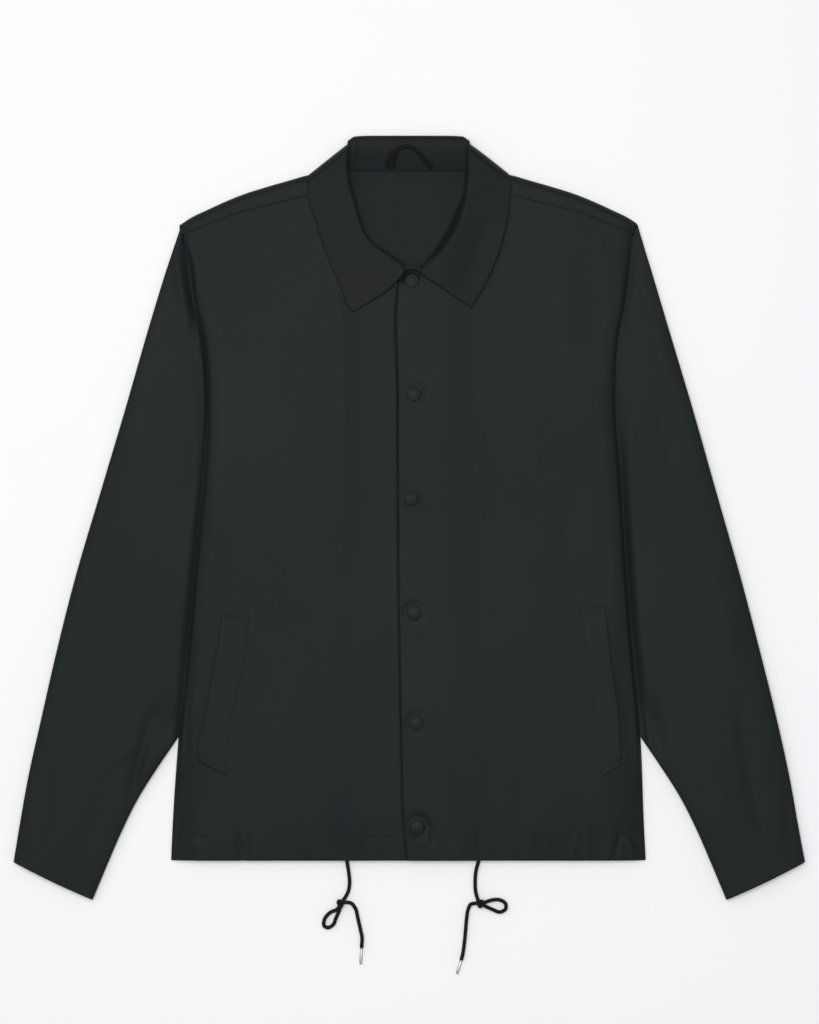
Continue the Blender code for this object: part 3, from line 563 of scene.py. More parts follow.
def cloth(name, outer, material, slot, nodes=(), thickness=CLOTH, inner=None, ring=False):
    """A wall of cloth whose outer face is a grid of points. The inner face is the outer one moved in by the
    thickness, and a line of points between them, half a thickness further out, rounds the edge. A ring joins
    its last column to its first. The UV map is the mean distance along columns and rows, in metres."""
    rows, columns = outer.shape[:2]
    if inner is None:
        inner = moved_in(outer, thickness)
    r, c = np.indices((rows, columns))
    near = outer[np.clip(r, 1, rows - 2), c if ring else np.clip(c, 1, columns - 2)]
    out = outer - near
    out = out / np.maximum(np.linalg.norm(out, axis=-1, keepdims=True), 1e-9)
    middle = 0.5 * (outer + inner) + 0.5 * thickness * out
    wide = columns + 1 if ring else columns
    count, wide_count = rows * columns, rows * wide
    index = np.arange(wide_count).reshape(rows, wide)
    edges = [index[0], index[-1, ::-1]]
    if not ring:
        edges = [np.concatenate((index[0], index[1:, -1], index[-1, -2::-1], index[-2::-1, 0]))]
    top = quads(index)
    faces = [top, top[:, ::-1] + wide_count]
    for edge in edges:
        rim, under = edge + 2 * wide_count, edge + wide_count
        faces.append(np.stack((edge[1:], edge[:-1], rim[:-1], rim[1:]), axis=-1))
        faces.append(np.stack((rim[1:], rim[:-1], under[:-1], under[1:]), axis=-1))
    faces = np.concatenate(faces)
    layer, wide_place = faces // wide_count, faces % wide_count
    row, column = wide_place // wide, wide_place % wide
    place = row * columns + column % columns
    on_edge = np.unique(place[layer == 2])
    rim_number = np.zeros(count, int)
    rim_number[on_edge] = np.arange(len(on_edge))
    corners = np.where(layer == 2, 2 * count + rim_number[place], place + layer * count)
    closed = np.concatenate((outer, outer[:, :1]), axis=1) if ring else outer
    u = added_up(np.linalg.norm(np.diff(closed, axis=1), axis=-1).mean(axis=0))
    v = added_up(np.linalg.norm(np.diff(closed, axis=0), axis=-1).mean(axis=1))
    corner_uv = np.stack((u[column], v[row]), axis=-1).reshape(-1, 2) * MM
    points = np.concatenate((outer.reshape(-1, 3), inner.reshape(-1, 3), middle.reshape(-1, 3)[on_edge]))
    points[:, 2] = np.maximum(points[:, 2], 0.0)
    return add_piece(name, points, corners.tolist(), material, nodes, corner_uv)


def back_width(y, side):
    """Half width of the back panel: up the side, along the sleeve's inner fold, round the armhole and along
    the shoulder to the neck."""
    low = np.linspace(HEM_EDGE, -246.0, 12)
    low = np.column_stack((body_side(low, side) - 1.0, low))
    sleeve = along(pairs(SLEEVE_INNER)[4::-1], np.linspace(0.0, 0.93, 24)) + BACK_INSIDE_SLEEVE
    hole = along(pairs(ARMHOLE)[::-1], np.linspace(0.0, 0.97, 40)) + BACK_INSIDE_HOLE
    over = np.linspace(222.0, 76.0, 30)
    shoulder = np.column_stack((over, smooth(over, *SHOULDER.values()) - BACK_UNDER_SHOULDER))
    neck = ((71.0, STAND_SEAM_Y - 2.0), (69.0, BACK_TOP))
    outline = np.concatenate((low, sleeve[::-1], hole, shoulder, neck))
    order = np.argsort(outline[:, 1])
    return np.interp(y, outline[order, 1], outline[order, 0])


INSIDE_NYLON = yarn_material("inside_nylon", INSIDE_TONES, 0.52, WEAVE_PITCH, WEAVE_HEIGHT, 0.00008,
                             sheen=NYLON_SHEEN, patches=7.0)
rows = stretches((HEM_EDGE, -230.0, 45), (-226.0, 60.0, 100), (61.0, 90.0, 30), (93.0, 290.0, 70),
                 (291.5, BACK_TOP, 46))
shares = np.linspace(-1.0, 1.0, 91)[None, :]
width = np.where(shares < 0, back_width(rows, "right")[:, None], back_width(rows, "left")[:, None])
back_x, back_y = width * shares, np.broadcast_to(rows[:, None], width.shape)
dent = np.maximum(folds(back_x, back_y, BACK_FOLDS) + drape(back_x, back_y, BACK_DRAPE, 1.3), 0.0)
back_under = np.stack((back_x, back_y, dent), axis=-1)
back = cloth("back_panel", back_under + (0.0, 0.0, CLOTH), INSIDE_NYLON, "inside_nylon", ("back",),
             inner=back_under)

# The sleeves: each is one tube of shell nylon, closed by a seam under the arm, with a turned hem at the cuff.
# They lie flat beside the body, the inner half under the front, and crease softly from the elbow to the cuff.
SLEEVE_FOLD = 2.6
SLEEVE_PRESSED = 5.5
SLEEVE_LEAST_TOP = SLEEVE_FOLD - 0.5
SLEEVE_VALLEY = {
    "right": {"start": -5.0, "rise": 12.0, "depth": 5.0, "width": 2.0, "least": 0.35, "middle": 240.0},
    "left": {"start": -3.0, "rise": 13.0, "depth": 4.2, "width": 5.5, "least": 0.15, "middle": -90.0},
}
VALLEY_UNDER_FRONT = 0.8
VALLEY_LONG = 170.0
CROTCH = (244.0, -216.0)
CROTCH_SAG = 4.0
CROTCH_WIDE = 24.0
CUFF_BOW = (0.0, -1.0)
CUFF_HEM = 25.0
CUFF_STITCH = 22.0
CLOTH_DRAPE = 0.55
SLEEVE_SPREAD = 0.77
SLEEVE_ROUND = 0.33
SLEEVE_BEND = 0.55
SLEEVE_DRAPE_START = {"right": 0.4, "left": 2.0}
HAND = {"right": -1.0, "left": 1.0}
SHELL_TONES = ((0.0090, 0.0108, 0.0132), (0.0108, 0.0170, 0.0148))
SLEEVE_OUTER = table(
    "y right left",
    (302.6, 235.8, 235.8),
    (291.0, 239.6, 239.2),
    (250.0, 253.2, 251.6),
    (208.5, 265.9, 263.9),
    (105.3, 295.7, 294.7),
    (27.9, 318.8, 316.6),
    (-65.0, 346.2, 343.0),
    (-147.6, 366.9, 364.6),
    (-204.3, 379.8, 378.6),
    (-271.4, 394.7, 393.4),
    (-323.0, 403.8, 402.6),
    (-356.0, 409.2, 408.8),
)
SLEEVE_CREST = table(
    "share height",
    (0.00, 5.6),
    (0.12, 8.0),
    (0.30, 11.0),
    (0.70, 11.0),
    (0.90, 10.2),
    (1.00, 9.5),
)
SLEEVE_FOLDS = {
    "right": table(
        "x y to_x to_y bow height width",
        (262.0, -196.0, 290.0, -308.0, 2.0, -3.0, 7.0),
        (218.0, -60.0, 250.0, -226.0, -4.0, -1.8, 14.0),
        (236.0, 304.0, 218.0, 184.0, 0.0, -3.4, 3.6),
        (246.0, 300.0, 227.0, 190.0, 0.0, 2.4, 6.0),
        (322.0, -70.0, 352.0, -215.0, -7.0, -0.9, 13.0),
        (262.0, 120.0, 290.0, -40.0, 8.0, 0.8, 18.0),
        (238.0, 60.0, 268.0, -96.0, -6.0, -0.9, 14.0),
        (306.0, -232.0, 344.0, -352.0, 5.0, 0.9, 11.0),
        (372.0, -250.0, 382.0, -356.0, -3.0, -0.7, 9.0),
        (240.0, -60.0, 292.0, -128.0, 6.0, -0.6, 9.0),
        (268.0, -232.0, 318.0, -268.0, 5.0, 0.7, 8.0),
        (250.0, 236.0, 276.0, 128.0, 4.0, 0.6, 12.0),
    ),
    "left": table(
        "x y to_x to_y bow height width",
        (338.0, -178.0, 370.0, -348.0, -5.0, -1.5, 13.0),
        (234.0, -150.0, 269.0, -280.0, -1.0, -2.2, 9.0),
        (235.0, 304.0, 219.0, 184.0, 0.0, -1.4, 3.2),
        (300.0, -20.0, 338.0, -168.0, 7.0, 0.9, 15.0),
        (256.0, 150.0, 286.0, 10.0, -8.0, -0.9, 16.0),
        (300.0, -238.0, 338.0, -344.0, 4.0, 0.8, 10.0),
        (240.0, 20.0, 262.0, -88.0, 5.0, 0.7, 12.0),
        (258.0, -92.0, 318.0, -140.0, -6.0, -0.6, 9.0),
        (384.0, -262.0, 390.0, -344.0, 3.0, -0.7, 8.0),
        (254.0, 222.0, 268.0, 150.0, -3.0, 0.5, 10.0),
    ),
}
SLEEVE_UNDER_FOLDS = table(
    "x y to_x to_y bow height width",
    (230.0, 180.0, 268.0, -20.0, 9.0, 1.0, 13.0),
    (250.0, -60.0, 300.0, -210.0, -8.0, 0.9, 15.0),
    (300.0, -180.0, 350.0, -340.0, 6.0, 1.1, 11.0),
)


def patch(start, end, near, far, u, v):
    """Surface between four edge curves: start and end run with v, near and far run with u."""
    u, v = np.broadcast_arrays(u, v)
    sides = (1 - u)[..., None] * along(start, v) + u[..., None] * along(end, v)
    sides = sides + (1 - v)[..., None] * along(near, u) + v[..., None] * along(far, u)
    start, end = np.asarray(start, float), np.asarray(end, float)
    near_corners = (1 - u)[..., None] * start[0] + u[..., None] * end[0]
    far_corners = (1 - u)[..., None] * start[-1] + u[..., None] * end[-1]
    return sides - (1 - v)[..., None] * near_corners - v[..., None] * far_corners


def to_side(grid, side):
    """A grid made on the left side, brought to its own side, still facing out."""
    return grid[:, ::-1] * (-1.0, 1.0, 1.0) if side == "right" else grid


def sleeve_edge(side):
    """The points of a sleeve's outer fold, from the shoulder to the cuff."""
    return np.column_stack((SLEEVE_OUTER[side], SLEEVE_OUTER["y"]))


def sleeve_ring(side, wall, angle, share):
    """Rings of a flattened tube, made smaller all round by the wall. They rise to the crest over the middle
    and stay pressed where the front lies on them. A valley beside the front, a sag at the crotch, creases,
    drape and the cuff's hem change the height of the top."""
    outer_fold, inner_fold, hole = sleeve_edge(side), pairs(SLEEVE_INNER), pairs(ARMHOLE)
    hole[0] = outer_fold[0]
    cuff = np.array((outer_fold[-1], 0.5 * (outer_fold[-1] + inner_fold[-1]) + CUFF_BOW, inner_fold[-1]))
    width = np.linalg.norm(along(outer_fold, share) - along(inner_fold, share), axis=-1)
    across = 0.5 - 0.5 * np.sign(np.cos(angle)) * np.abs(np.cos(angle)) ** SLEEVE_SPREAD
    across = 0.5 + (across - 0.5) * (1.0 - 2.0 * wall / width)
    plan = patch(outer_fold, inner_fold, hole, cuff, across, share)
    x, y = plan[..., 0], plan[..., 1]
    outside = x - body_side(y, side)
    free = step(outside, -6.0, 0.0)
    valley = SLEEVE_VALLEY[side]
    rise = valley["rise"] * (1.0 + 0.9 * step(y, 20.0, 160.0))
    crest = smooth(share, *SLEEVE_CREST.values())
    top = SLEEVE_PRESSED + (crest - SLEEVE_PRESSED) * step(outside, valley["start"], valley["start"] + rise)
    deep = valley["least"] + (1.0 - valley["least"]) * groove(y - valley["middle"], VALLEY_LONG)
    dip = deep * valley["depth"] * groove(outside + VALLEY_UNDER_FRONT, valley["width"])
    sag = CROTCH_SAG * groove(np.hypot(x - CROTCH[0], y - CROTCH[1]), CROTCH_WIDE)
    relief = folds(x, y, SLEEVE_FOLDS[side]) + drape(x, y, CLOTH_DRAPE, SLEEVE_DRAPE_START[side])
    from_cuff = (1.0 - share) * runs(outer_fold)[-1]
    hem = 0.12 * (1.0 - step(from_cuff, CUFF_HEM - 5.5, CUFF_HEM - 1.5))
    hem = hem - 0.16 * groove(from_cuff - CUFF_STITCH, 1.3)
    top = np.maximum(top + free * (relief - dip - sag) + hem, SLEEVE_LEAST_TOP)
    over = SLEEVE_FOLD + (top - SLEEVE_FOLD - wall) * np.abs(np.sin(angle)) ** SLEEVE_ROUND
    bend = (1.0 - np.clip(np.abs(np.sin(angle)) / SLEEVE_BEND, 0.0, 1.0)) ** 1.5
    dent = np.maximum(folds(x, y, SLEEVE_UNDER_FOLDS), 0.0) * (1.0 - bend)
    under = wall + dent + (SLEEVE_FOLD - wall) * bend
    return np.concatenate((plan, np.where(np.sin(angle) >= 0, over, under)[..., None]), axis=-1)


STITCH_LONG = 2.5
STITCH_PITCH = 3.2
STITCH_THICK = 0.24
STITCH_SIDES = 6


def stitches(name, lines):
    """Rows of stitches along lines of points: each is a small spindle of thread, half sunk in the cloth, one
    pitch from the next. Its radius is the thread's times sqrt(1 − (2s)²), s being 0 at its middle."""
    station = np.array((-0.49, -0.38, 0.0, 0.38, 0.49))
    radius = STITCH_THICK * np.sqrt(1.0 - (2.0 * station) ** 2)
    turn = np.linspace(0.0, math.tau, STITCH_SIDES, endpoint=False)
    rings = []
    for line in lines:
        run = runs(line)
        middle = np.arange(0.5 * STITCH_PITCH, run[-1] - 0.4 * STITCH_PITCH, STITCH_PITCH)
        at = middle[:, None] + STITCH_LONG * station
        centre = np.stack([np.interp(at, run, column) for column in line.T], axis=-1)
        ring = rings_across(unit(centre[:, -1:] - centre[:, :1]), turn)
        rings.append(centre[:, :, None, :] + radius[:, None, None] * ring)
    rings = np.concatenate(rings)
    count, stations = rings.shape[:2]
    index = np.arange(stations * STITCH_SIDES).reshape(stations, STITCH_SIDES)
    sides = quads(np.column_stack((index, index[:, 0])))[:, ::-1]
    first, last = index[0], index[-1]
    ends = np.array((first[[0, 1, 2, 3]], first[[0, 3, 4, 5]], last[[3, 2, 1, 0]], last[[5, 4, 3, 0]]))
    one = np.concatenate((sides, ends))
    faces = (one[None] + index.size * np.arange(count)[:, None, None]).reshape(-1, 4)
    return add_piece(name, rings, faces.tolist(), THREAD)


THREAD_TONES = ((0.0104, 0.0128, 0.0146), (0.0118, 0.0160, 0.0160))
THREAD = yarn_material("sewing_thread", THREAD_TONES, 0.45, 0.0004, 0.0, 0.00002, specular=0.2)
SHELL_NYLON = yarn_material("shell_nylon", SHELL_TONES, 0.50, WEAVE_PITCH, WEAVE_HEIGHT, 0.00008,
                            sheen=NYLON_SHEEN, patches=5.0)


def shell_piece(name, grid, node, **form):
    """A panel of shell nylon that stands for one CAD node."""
    return cloth(name, grid, SHELL_NYLON, "shell_nylon", (node,), **form)


turns = np.linspace(0.0, math.pi, 74, endpoint=False)
turns = np.concatenate((turns, np.linspace(math.pi, math.tau, 30, endpoint=False)))[None, :]
down = np.concatenate((np.linspace(0.0, 0.94, 200, endpoint=False), np.linspace(0.94, 1.0, 38)))[:, None]
for side in ("right", "left"):
    ring_out = to_side(sleeve_ring(side, 0.0, turns, down), side)
    ring_in = to_side(sleeve_ring(side, CLOTH, turns, down), side)
    sleeve = shell_piece(f"sleeve_cloth_{side}", ring_out, f"sleeve_{side}", inner=ring_in, ring=True)
    stitch_share = np.array([[1.0 - CUFF_STITCH / runs(sleeve_edge(side))[-1]]])
    over_cuff = np.linspace(0.25, math.pi - 0.25, 120)[None, :]
    cuff_line = to_side(sleeve_ring(side, 0.0, over_cuff, stitch_share), side)[0]
    cuff_thread = stitches(f"cuff_stitches_{side}", [cuff_line])

# The fronts: two panels of shell nylon, the left one lapped over the right and faced along its edge.
# A turned hem holds the drawcord. The sides roll down on the sleeves, and the snaps pull small dimples.
SIDE_ROLL = 18.0
SIDE_TUCK = 4.6
TUCK_WIDTH = 4.6
SIDE_SLACK = 0.8
SLACK_WIDTH = 42.0
ON_SLEEVE = (-285.0, -240.0)
LAP_END = (0.19, 0.34)
FRONT_DRAPE_START = {"right": 2.9, "left": 0.0}
FRONT_LONG = 650.0
HEM_STITCH = 23.2
FACING_WIDTH = 33.0
FRONT_CREST = table(
    "y height",
    (-354.5, 8.8),
    (-325.0, 10.4),
    (-270.0, 12.0),
    (-150.0, 12.6),
    (100.0, 12.6),
    (190.0, 11.6),
    (245.0, 10.0),
    (360.0, 10.0),
)
FRONT_TOP = table(
    "across y",
    (0.0, 258.0),
    (20.0, 259.0),
    (33.0, 263.5),
    (46.0, 272.0),
    (58.0, 288.0),
    (66.0, 308.0),
    (74.0, 334.5),
    (88.0, 334.0),
    (102.0, 332.8),
    (124.0, 327.2),
    (150.0, 320.6),
    (176.0, 313.6),
    (200.0, 304.2),
    (216.0, 298.0),
    (232.0, 292.0),
)
FRONT_EDGE = table(
    "y right left",
    (-354.5, -24.0, -1.5),
    (-320.0, -24.0, -4.6),
    (-212.0, -24.0, -7.7),
    (-99.0, -24.0, -9.8),
    (127.0, -24.0, -10.8),
    (243.0, -24.0, -9.8),
    (258.0, -24.0, -7.0),
)
SNAPS = table(
    "x y pull way",
    (2.6, 243.6, 5.4, 105.0),
    (4.4, 126.9, 0.9, 10.0),
    (1.5, 18.6, 0.9, 320.0),
    (4.6, -99.1, 0.9, 120.0),
    (6.7, -212.6, 1.0, 150.0),
    (7.7, -319.9, 1.6, 60.0),
)
SNAP_RING = 9.2
PULL_WIDTH = {"right": 3.0, "left": 1.5}
FRONT_FOLDS = {
    "right": table(
        "x y to_x to_y bow height width",
        (214.0, -300.0, 230.0, -350.0, 2.0, 1.3, 5.0),
        (222.0, -110.0, 230.0, -262.0, 4.0, -1.2, 8.0),
        (234.0, -308.0, 241.0, -346.0, 1.0, -1.0, 4.0),
        (150.0, 280.0, 186.0, 120.0, 10.0, -0.8, 20.0),
        (60.0, 200.0, 96.0, 20.0, -12.0, 0.7, 26.0),
        (196.0, 60.0, 150.0, -90.0, 9.0, 0.8, 18.0),
        (30.0, 60.0, 62.0, -150.0, 8.0, -0.7, 22.0),
        (120.0, -20.0, 88.0, -210.0, -10.0, 0.7, 24.0),
        (200.0, -70.0, 226.0, -240.0, -6.0, -0.9, 14.0),
        (40.0, -190.0, 84.0, -335.0, 6.0, 0.7, 17.0),
        (150.0, -270.0, 172.0, -352.0, -4.0, -0.6, 12.0),
        (110.0, 300.0, 70.0, 230.0, -6.0, 0.6, 14.0),
    ),
    "left": table(
        "x y to_x to_y bow height width",
        (14.0, -306.0, 22.5, -340.0, 3.0, -1.7, 2.8),
        (-2.0, -307.0, 20.0, -313.0, 2.0, -1.3, 2.6),
        (-8.0, -321.0, 11.0, -332.5, -3.0, -1.4, 2.4),
        (208.0, -326.0, 240.0, -342.0, 3.0, -0.9, 4.0),
        (222.0, -332.0, 242.0, -352.0, -2.0, 0.9, 4.0),
        (152.0, 270.0, 190.0, 90.0, -9.0, 0.8, 19.0),
        (52.0, 180.0, 90.0, -30.0, 12.0, -0.8, 25.0),
        (190.0, 80.0, 158.0, -70.0, -8.0, -0.7, 18.0),
        (96.0, 40.0, 128.0, -160.0, 10.0, 0.7, 24.0),
        (46.0, -60.0, 70.0, -260.0, -9.0, 0.6, 20.0),
        (206.0, -120.0, 230.0, -280.0, 5.0, -0.8, 13.0),
        (120.0, -210.0, 100.0, -345.0, 6.0, -0.6, 17.0),
        (96.0, 310.0, 64.0, 226.0, 6.0, -0.6, 14.0),
        (-9.0, 148.0, 10.0, 138.0, 1.0, -0.8, 3.0),
    ),
}
# Puckers of the hem: where each crosses the stitch line, its lean, length, height and width
HEM_PUCKERS = {
    "right": table(
        "x lean length height width",
        (29.0, 2.0, 22.0, -0.5, 2.4),
        (49.5, -3.0, 26.0, -0.8, 2.6),
        (66.6, 1.0, 24.0, -1.0, 2.2),
        (92.0, 4.0, 20.0, 0.5, 3.4),
        (107.0, -2.0, 14.0, 0.7, 4.0),
        (126.0, 3.0, 22.0, -0.7, 2.6),
        (135.2, -2.0, 16.0, -0.6, 2.2),
        (151.0, 3.0, 20.0, 0.5, 3.2),
        (167.7, -3.0, 18.0, -0.7, 2.4),
        (175.3, 4.0, 26.0, -1.0, 2.6),
        (198.0, -2.0, 18.0, 0.5, 3.2),
        (221.0, 5.0, 24.0, 0.6, 3.6),
    ),
    "left": table(
        "x lean length height width",
        (36.0, -2.0, 20.0, -0.6, 2.6),
        (54.0, 3.0, 18.0, 0.5, 3.2),
        (72.0, -1.0, 24.0, -1.0, 2.2),
        (88.0, 3.0, 22.0, -0.6, 2.6),
        (109.0, -4.0, 18.0, 0.5, 3.4),
        (131.0, 2.0, 24.0, -0.7, 2.8),
        (149.0, -2.0, 16.0, -0.5, 2.4),
        (170.0, 4.0, 20.0, 0.6, 3.2),
        (190.0, -3.0, 26.0, -0.8, 2.6),
        (214.0, 5.0, 26.0, -0.9, 2.8),
        (229.0, -4.0, 18.0, 0.7, 3.2),
    ),
}


def lap_rise(x, edge, width):
    """How far the right front beneath raises the left one: one layer near its edge, none further out."""
    return (CAD_CLOTH + GAP + 0.1) * (1.0 - step((x - edge) / (width - edge), *LAP_END))


def hem_relief(x, from_hem, side):
    """Relief of the turned hem: a thicker band, its line of stitches and the puckers that cross it."""
    band = 0.1 * (1.0 - step(from_hem, HEM_STITCH - 2.0, HEM_STITCH)) * roll(from_hem, 1.5)
    up = from_hem - 0.5 * HEM_STITCH
    puckers = np.zeros(np.broadcast(x, up).shape)
    for at, lean, length, rise, wide in zip(*HEM_PUCKERS[side].values()):
        fade = np.clip(1.0 - (up / length) ** 2, 0.0, 1.0)
        puckers = puckers + rise * fade * groove(x - at - lean * up / HEM_STITCH, wide)
    return band - 0.12 * groove(from_hem - HEM_STITCH, 1.3) + puckers * (0.75 + step(x, 120.0, 180.0))


def snap_relief(x, y, side):
    """Relief round the snaps: a pull beside each cap, and on the upper front a dimple with a soft rim."""
    relief = np.zeros(np.broadcast(x, y).shape)
    for at_x, at_y, pull, way in zip(*SNAPS.values()):
        from_x, from_y = HAND[side] * x - at_x, y - at_y
        away = np.hypot(from_x, from_y)
        way = math.radians(way)
        toward = (from_x * math.cos(way) + from_y * math.sin(way)) / np.maximum(away, 1.0)
        relief = relief - pull * groove(away - SNAP_RING - 0.6, PULL_WIDTH[side]) * step(toward, -0.2, 0.7)
        if side == "left":
            relief = relief - 0.35 * groove(away - SNAP_RING, 3.6) + 0.2 * groove(away - 17.0, 5.0)
    return relief


def front_height(x, y, side):
    """Height of a front: a flat crest that rolls down at the side, in a quarter round that slackens to a sine
    towards the hem, and is tucked in on the sleeve. The left front is raised by its lap and its facing. The
    right one has a raised side near the armhole and a trough beside the left front's edge."""
    edge, width = smooth(y, FRONT_EDGE["y"], FRONT_EDGE[side]), body_side(y, side)
    from_side = width - x
    on_sleeve = step(y, *ON_SLEEVE)
    low = CAD_CLOTH + GAP + EDGE_DROP + on_sleeve * (SLEEVE_PRESSED - CAD_CLOTH)
    slack = SIDE_SLACK * (1.0 - step(y, -190.0, 20.0))
    slope = np.sin(0.5 * math.pi * np.clip(from_side / SLACK_WIDTH, 0.0, 1.0))
    fall = (1.0 - slack) * roll(from_side, SIDE_ROLL) + slack * slope
    tuck = SIDE_TUCK * on_sleeve * (1.0 - step(y, 262.0, 290.0))
    tuck = tuck * np.clip(1.0 - from_side / TUCK_WIDTH, 0.0, 1.0) ** 1.3
    if side == "left":
        tuck = tuck * (1.0 - 0.45 * step(y, 20.0, 110.0))
        own = lap_rise(x, edge, width) + 0.15 * (1.0 - step(x - edge, FACING_WIDTH - 6.0, FACING_WIDTH + 2.0))
    else:
        beside = x + smooth(y, FRONT_EDGE["y"], FRONT_EDGE["left"])
        own = -1.5 * groove(beside - 0.2, 1.3 + 0.6 * groove(y - 185.0, 45.0))
        own = own + 2.4 * groove(y - 256.0, 30.0) * (1.0 - roll(from_side, 12.0))
    relief = folds(x, y, FRONT_FOLDS[side]) + drape(x, y, CLOTH_DRAPE, FRONT_DRAPE_START[side])
    height = low + (smooth(y, *FRONT_CREST.values()) - low) * fall + own - tuck
    height = height + roll(from_side, 14.0) * relief
    return height + hem_relief(x, y - HEM_EDGE, side) + snap_relief(x, y, side)


def spread(length, fine, first, coarse, last):
    """Distances from 0 to length: fine steps on the first and the last stretch and coarse ones between."""
    middle = np.arange(first, length - last, coarse)
    end = np.linspace(length - last, length, int(last / fine) + 1)
    return np.concatenate((np.arange(0.0, first, fine), middle, end))


def front_grid(side):
    """Outer points of a front, rows from the hem up and columns from its front edge to its side."""
    edge_top, side_top = FRONT_EDGE[side][-1], FRONT_TOP["across"][-1] - 2.0
    across_top = edge_top + spread(side_top - edge_top, 1.4, 40.0, 2.1, 26.0)
    share = (across_top - edge_top) / (side_top - edge_top)
    top = smooth(np.maximum(across_top, 0.0), *FRONT_TOP.values())
    rise = spread(FRONT_LONG, 1.3, 33.0, 2.9, 9.0)[:, None] / FRONT_LONG
    y = HEM_EDGE + rise * (top - HEM_EDGE)
    edge = smooth(y, FRONT_EDGE["y"], FRONT_EDGE[side])
    x = edge + share * (body_side(y, side) - edge)
    z = front_height(x, y, side) - 0.25 * groove(top - y, 1.2) * step(x, 66.0, 76.0)
    return np.stack((x, y, z), axis=-1)


HEM_THREAD_START = {"right": 12.0, "left": -2.0}
front_grids = {}
for side in ("right", "left"):
    front_grids[side] = front_grid(side)
    front = shell_piece(f"front_cloth_{side}", to_side(front_grids[side], side), f"front_{side}")
    hem_x = np.arange(HEM_THREAD_START[side], body_side(HEM_EDGE + HEM_STITCH, side) - 1.0, 1.0)
    hem_y = np.full(hem_x.shape, HEM_EDGE + HEM_STITCH)
    hem_line = np.column_stack((hem_x, hem_y, front_height(hem_x, hem_y, side)))
    front_thread = stitches(f"hem_stitches_{side}", [hem_line * (HAND[side], 1.0, 1.0)])


# The yoke: one panel of shell nylon across the back's shoulders, whose two ends come over to the front.
# Each end is sewn to a front in a forward seam, and its edge is stitched down once more beside it.
SHOULDER_ROLL = 9.0
YOKE_STITCH_ROW = 4
YOKE_START_X = 73.0
YOKE_LEAST_Z = 1.6
YOKE_CORNER = ((1.0, -0.4, -0.7), (2.0, -0.8, -1.9), (3.3, -1.2, -3.2), (4.6, -1.6, -4.6))


def yoke_height(x, y, seam_y, seam_z):
    """Height of the yoke: level with the front from the seam on, and rolled down at the shoulder line."""
    shoulder = smooth(x, SHOULDER["across"], SHOULDER["y"])
    low = EDGE_DROP + 0.2
    relief = drape(x, y, 0.4, 1.1) * step(y - seam_y, 0.0, 8.0)
    return low + (seam_z + relief - low) * roll(shoulder - y, SHOULDER_ROLL)


for side in ("right", "left"):
    seam = front_grids[side][-1, front_grids[side][-1, :, 0] >= YOKE_START_X]
    corner = seam[-1] + np.array(YOKE_CORNER)
    seam = np.concatenate((seam, corner))
    seam[:, 2] = np.maximum(seam[:, 2], YOKE_LEAST_Z)
    shoulder = smooth(seam[:, 0], SHOULDER["across"], SHOULDER["y"])
    back_share = stretches((0.0, 0.15, 7), (0.18, 0.7, 20), (0.72, 1.0, 22))
    yoke_start = seam[:, 1] + 0.4
    yoke_y = yoke_start + back_share[:, None] * (shoulder - yoke_start)
    yoke_x = np.broadcast_to(seam[:, 0], yoke_y.shape)
    yoke_z = yoke_height(yoke_x, yoke_y, yoke_start, seam[:, 2])
    yoke_grid = to_side(np.stack((yoke_x, yoke_y, yoke_z), axis=-1), side)
    yoke = shell_piece(f"yoke_cloth_{side}", yoke_grid, f"yoke_{side}")
    yoke_thread = stitches(f"yoke_stitches_{side}", [yoke_grid[YOKE_STITCH_ROW]])

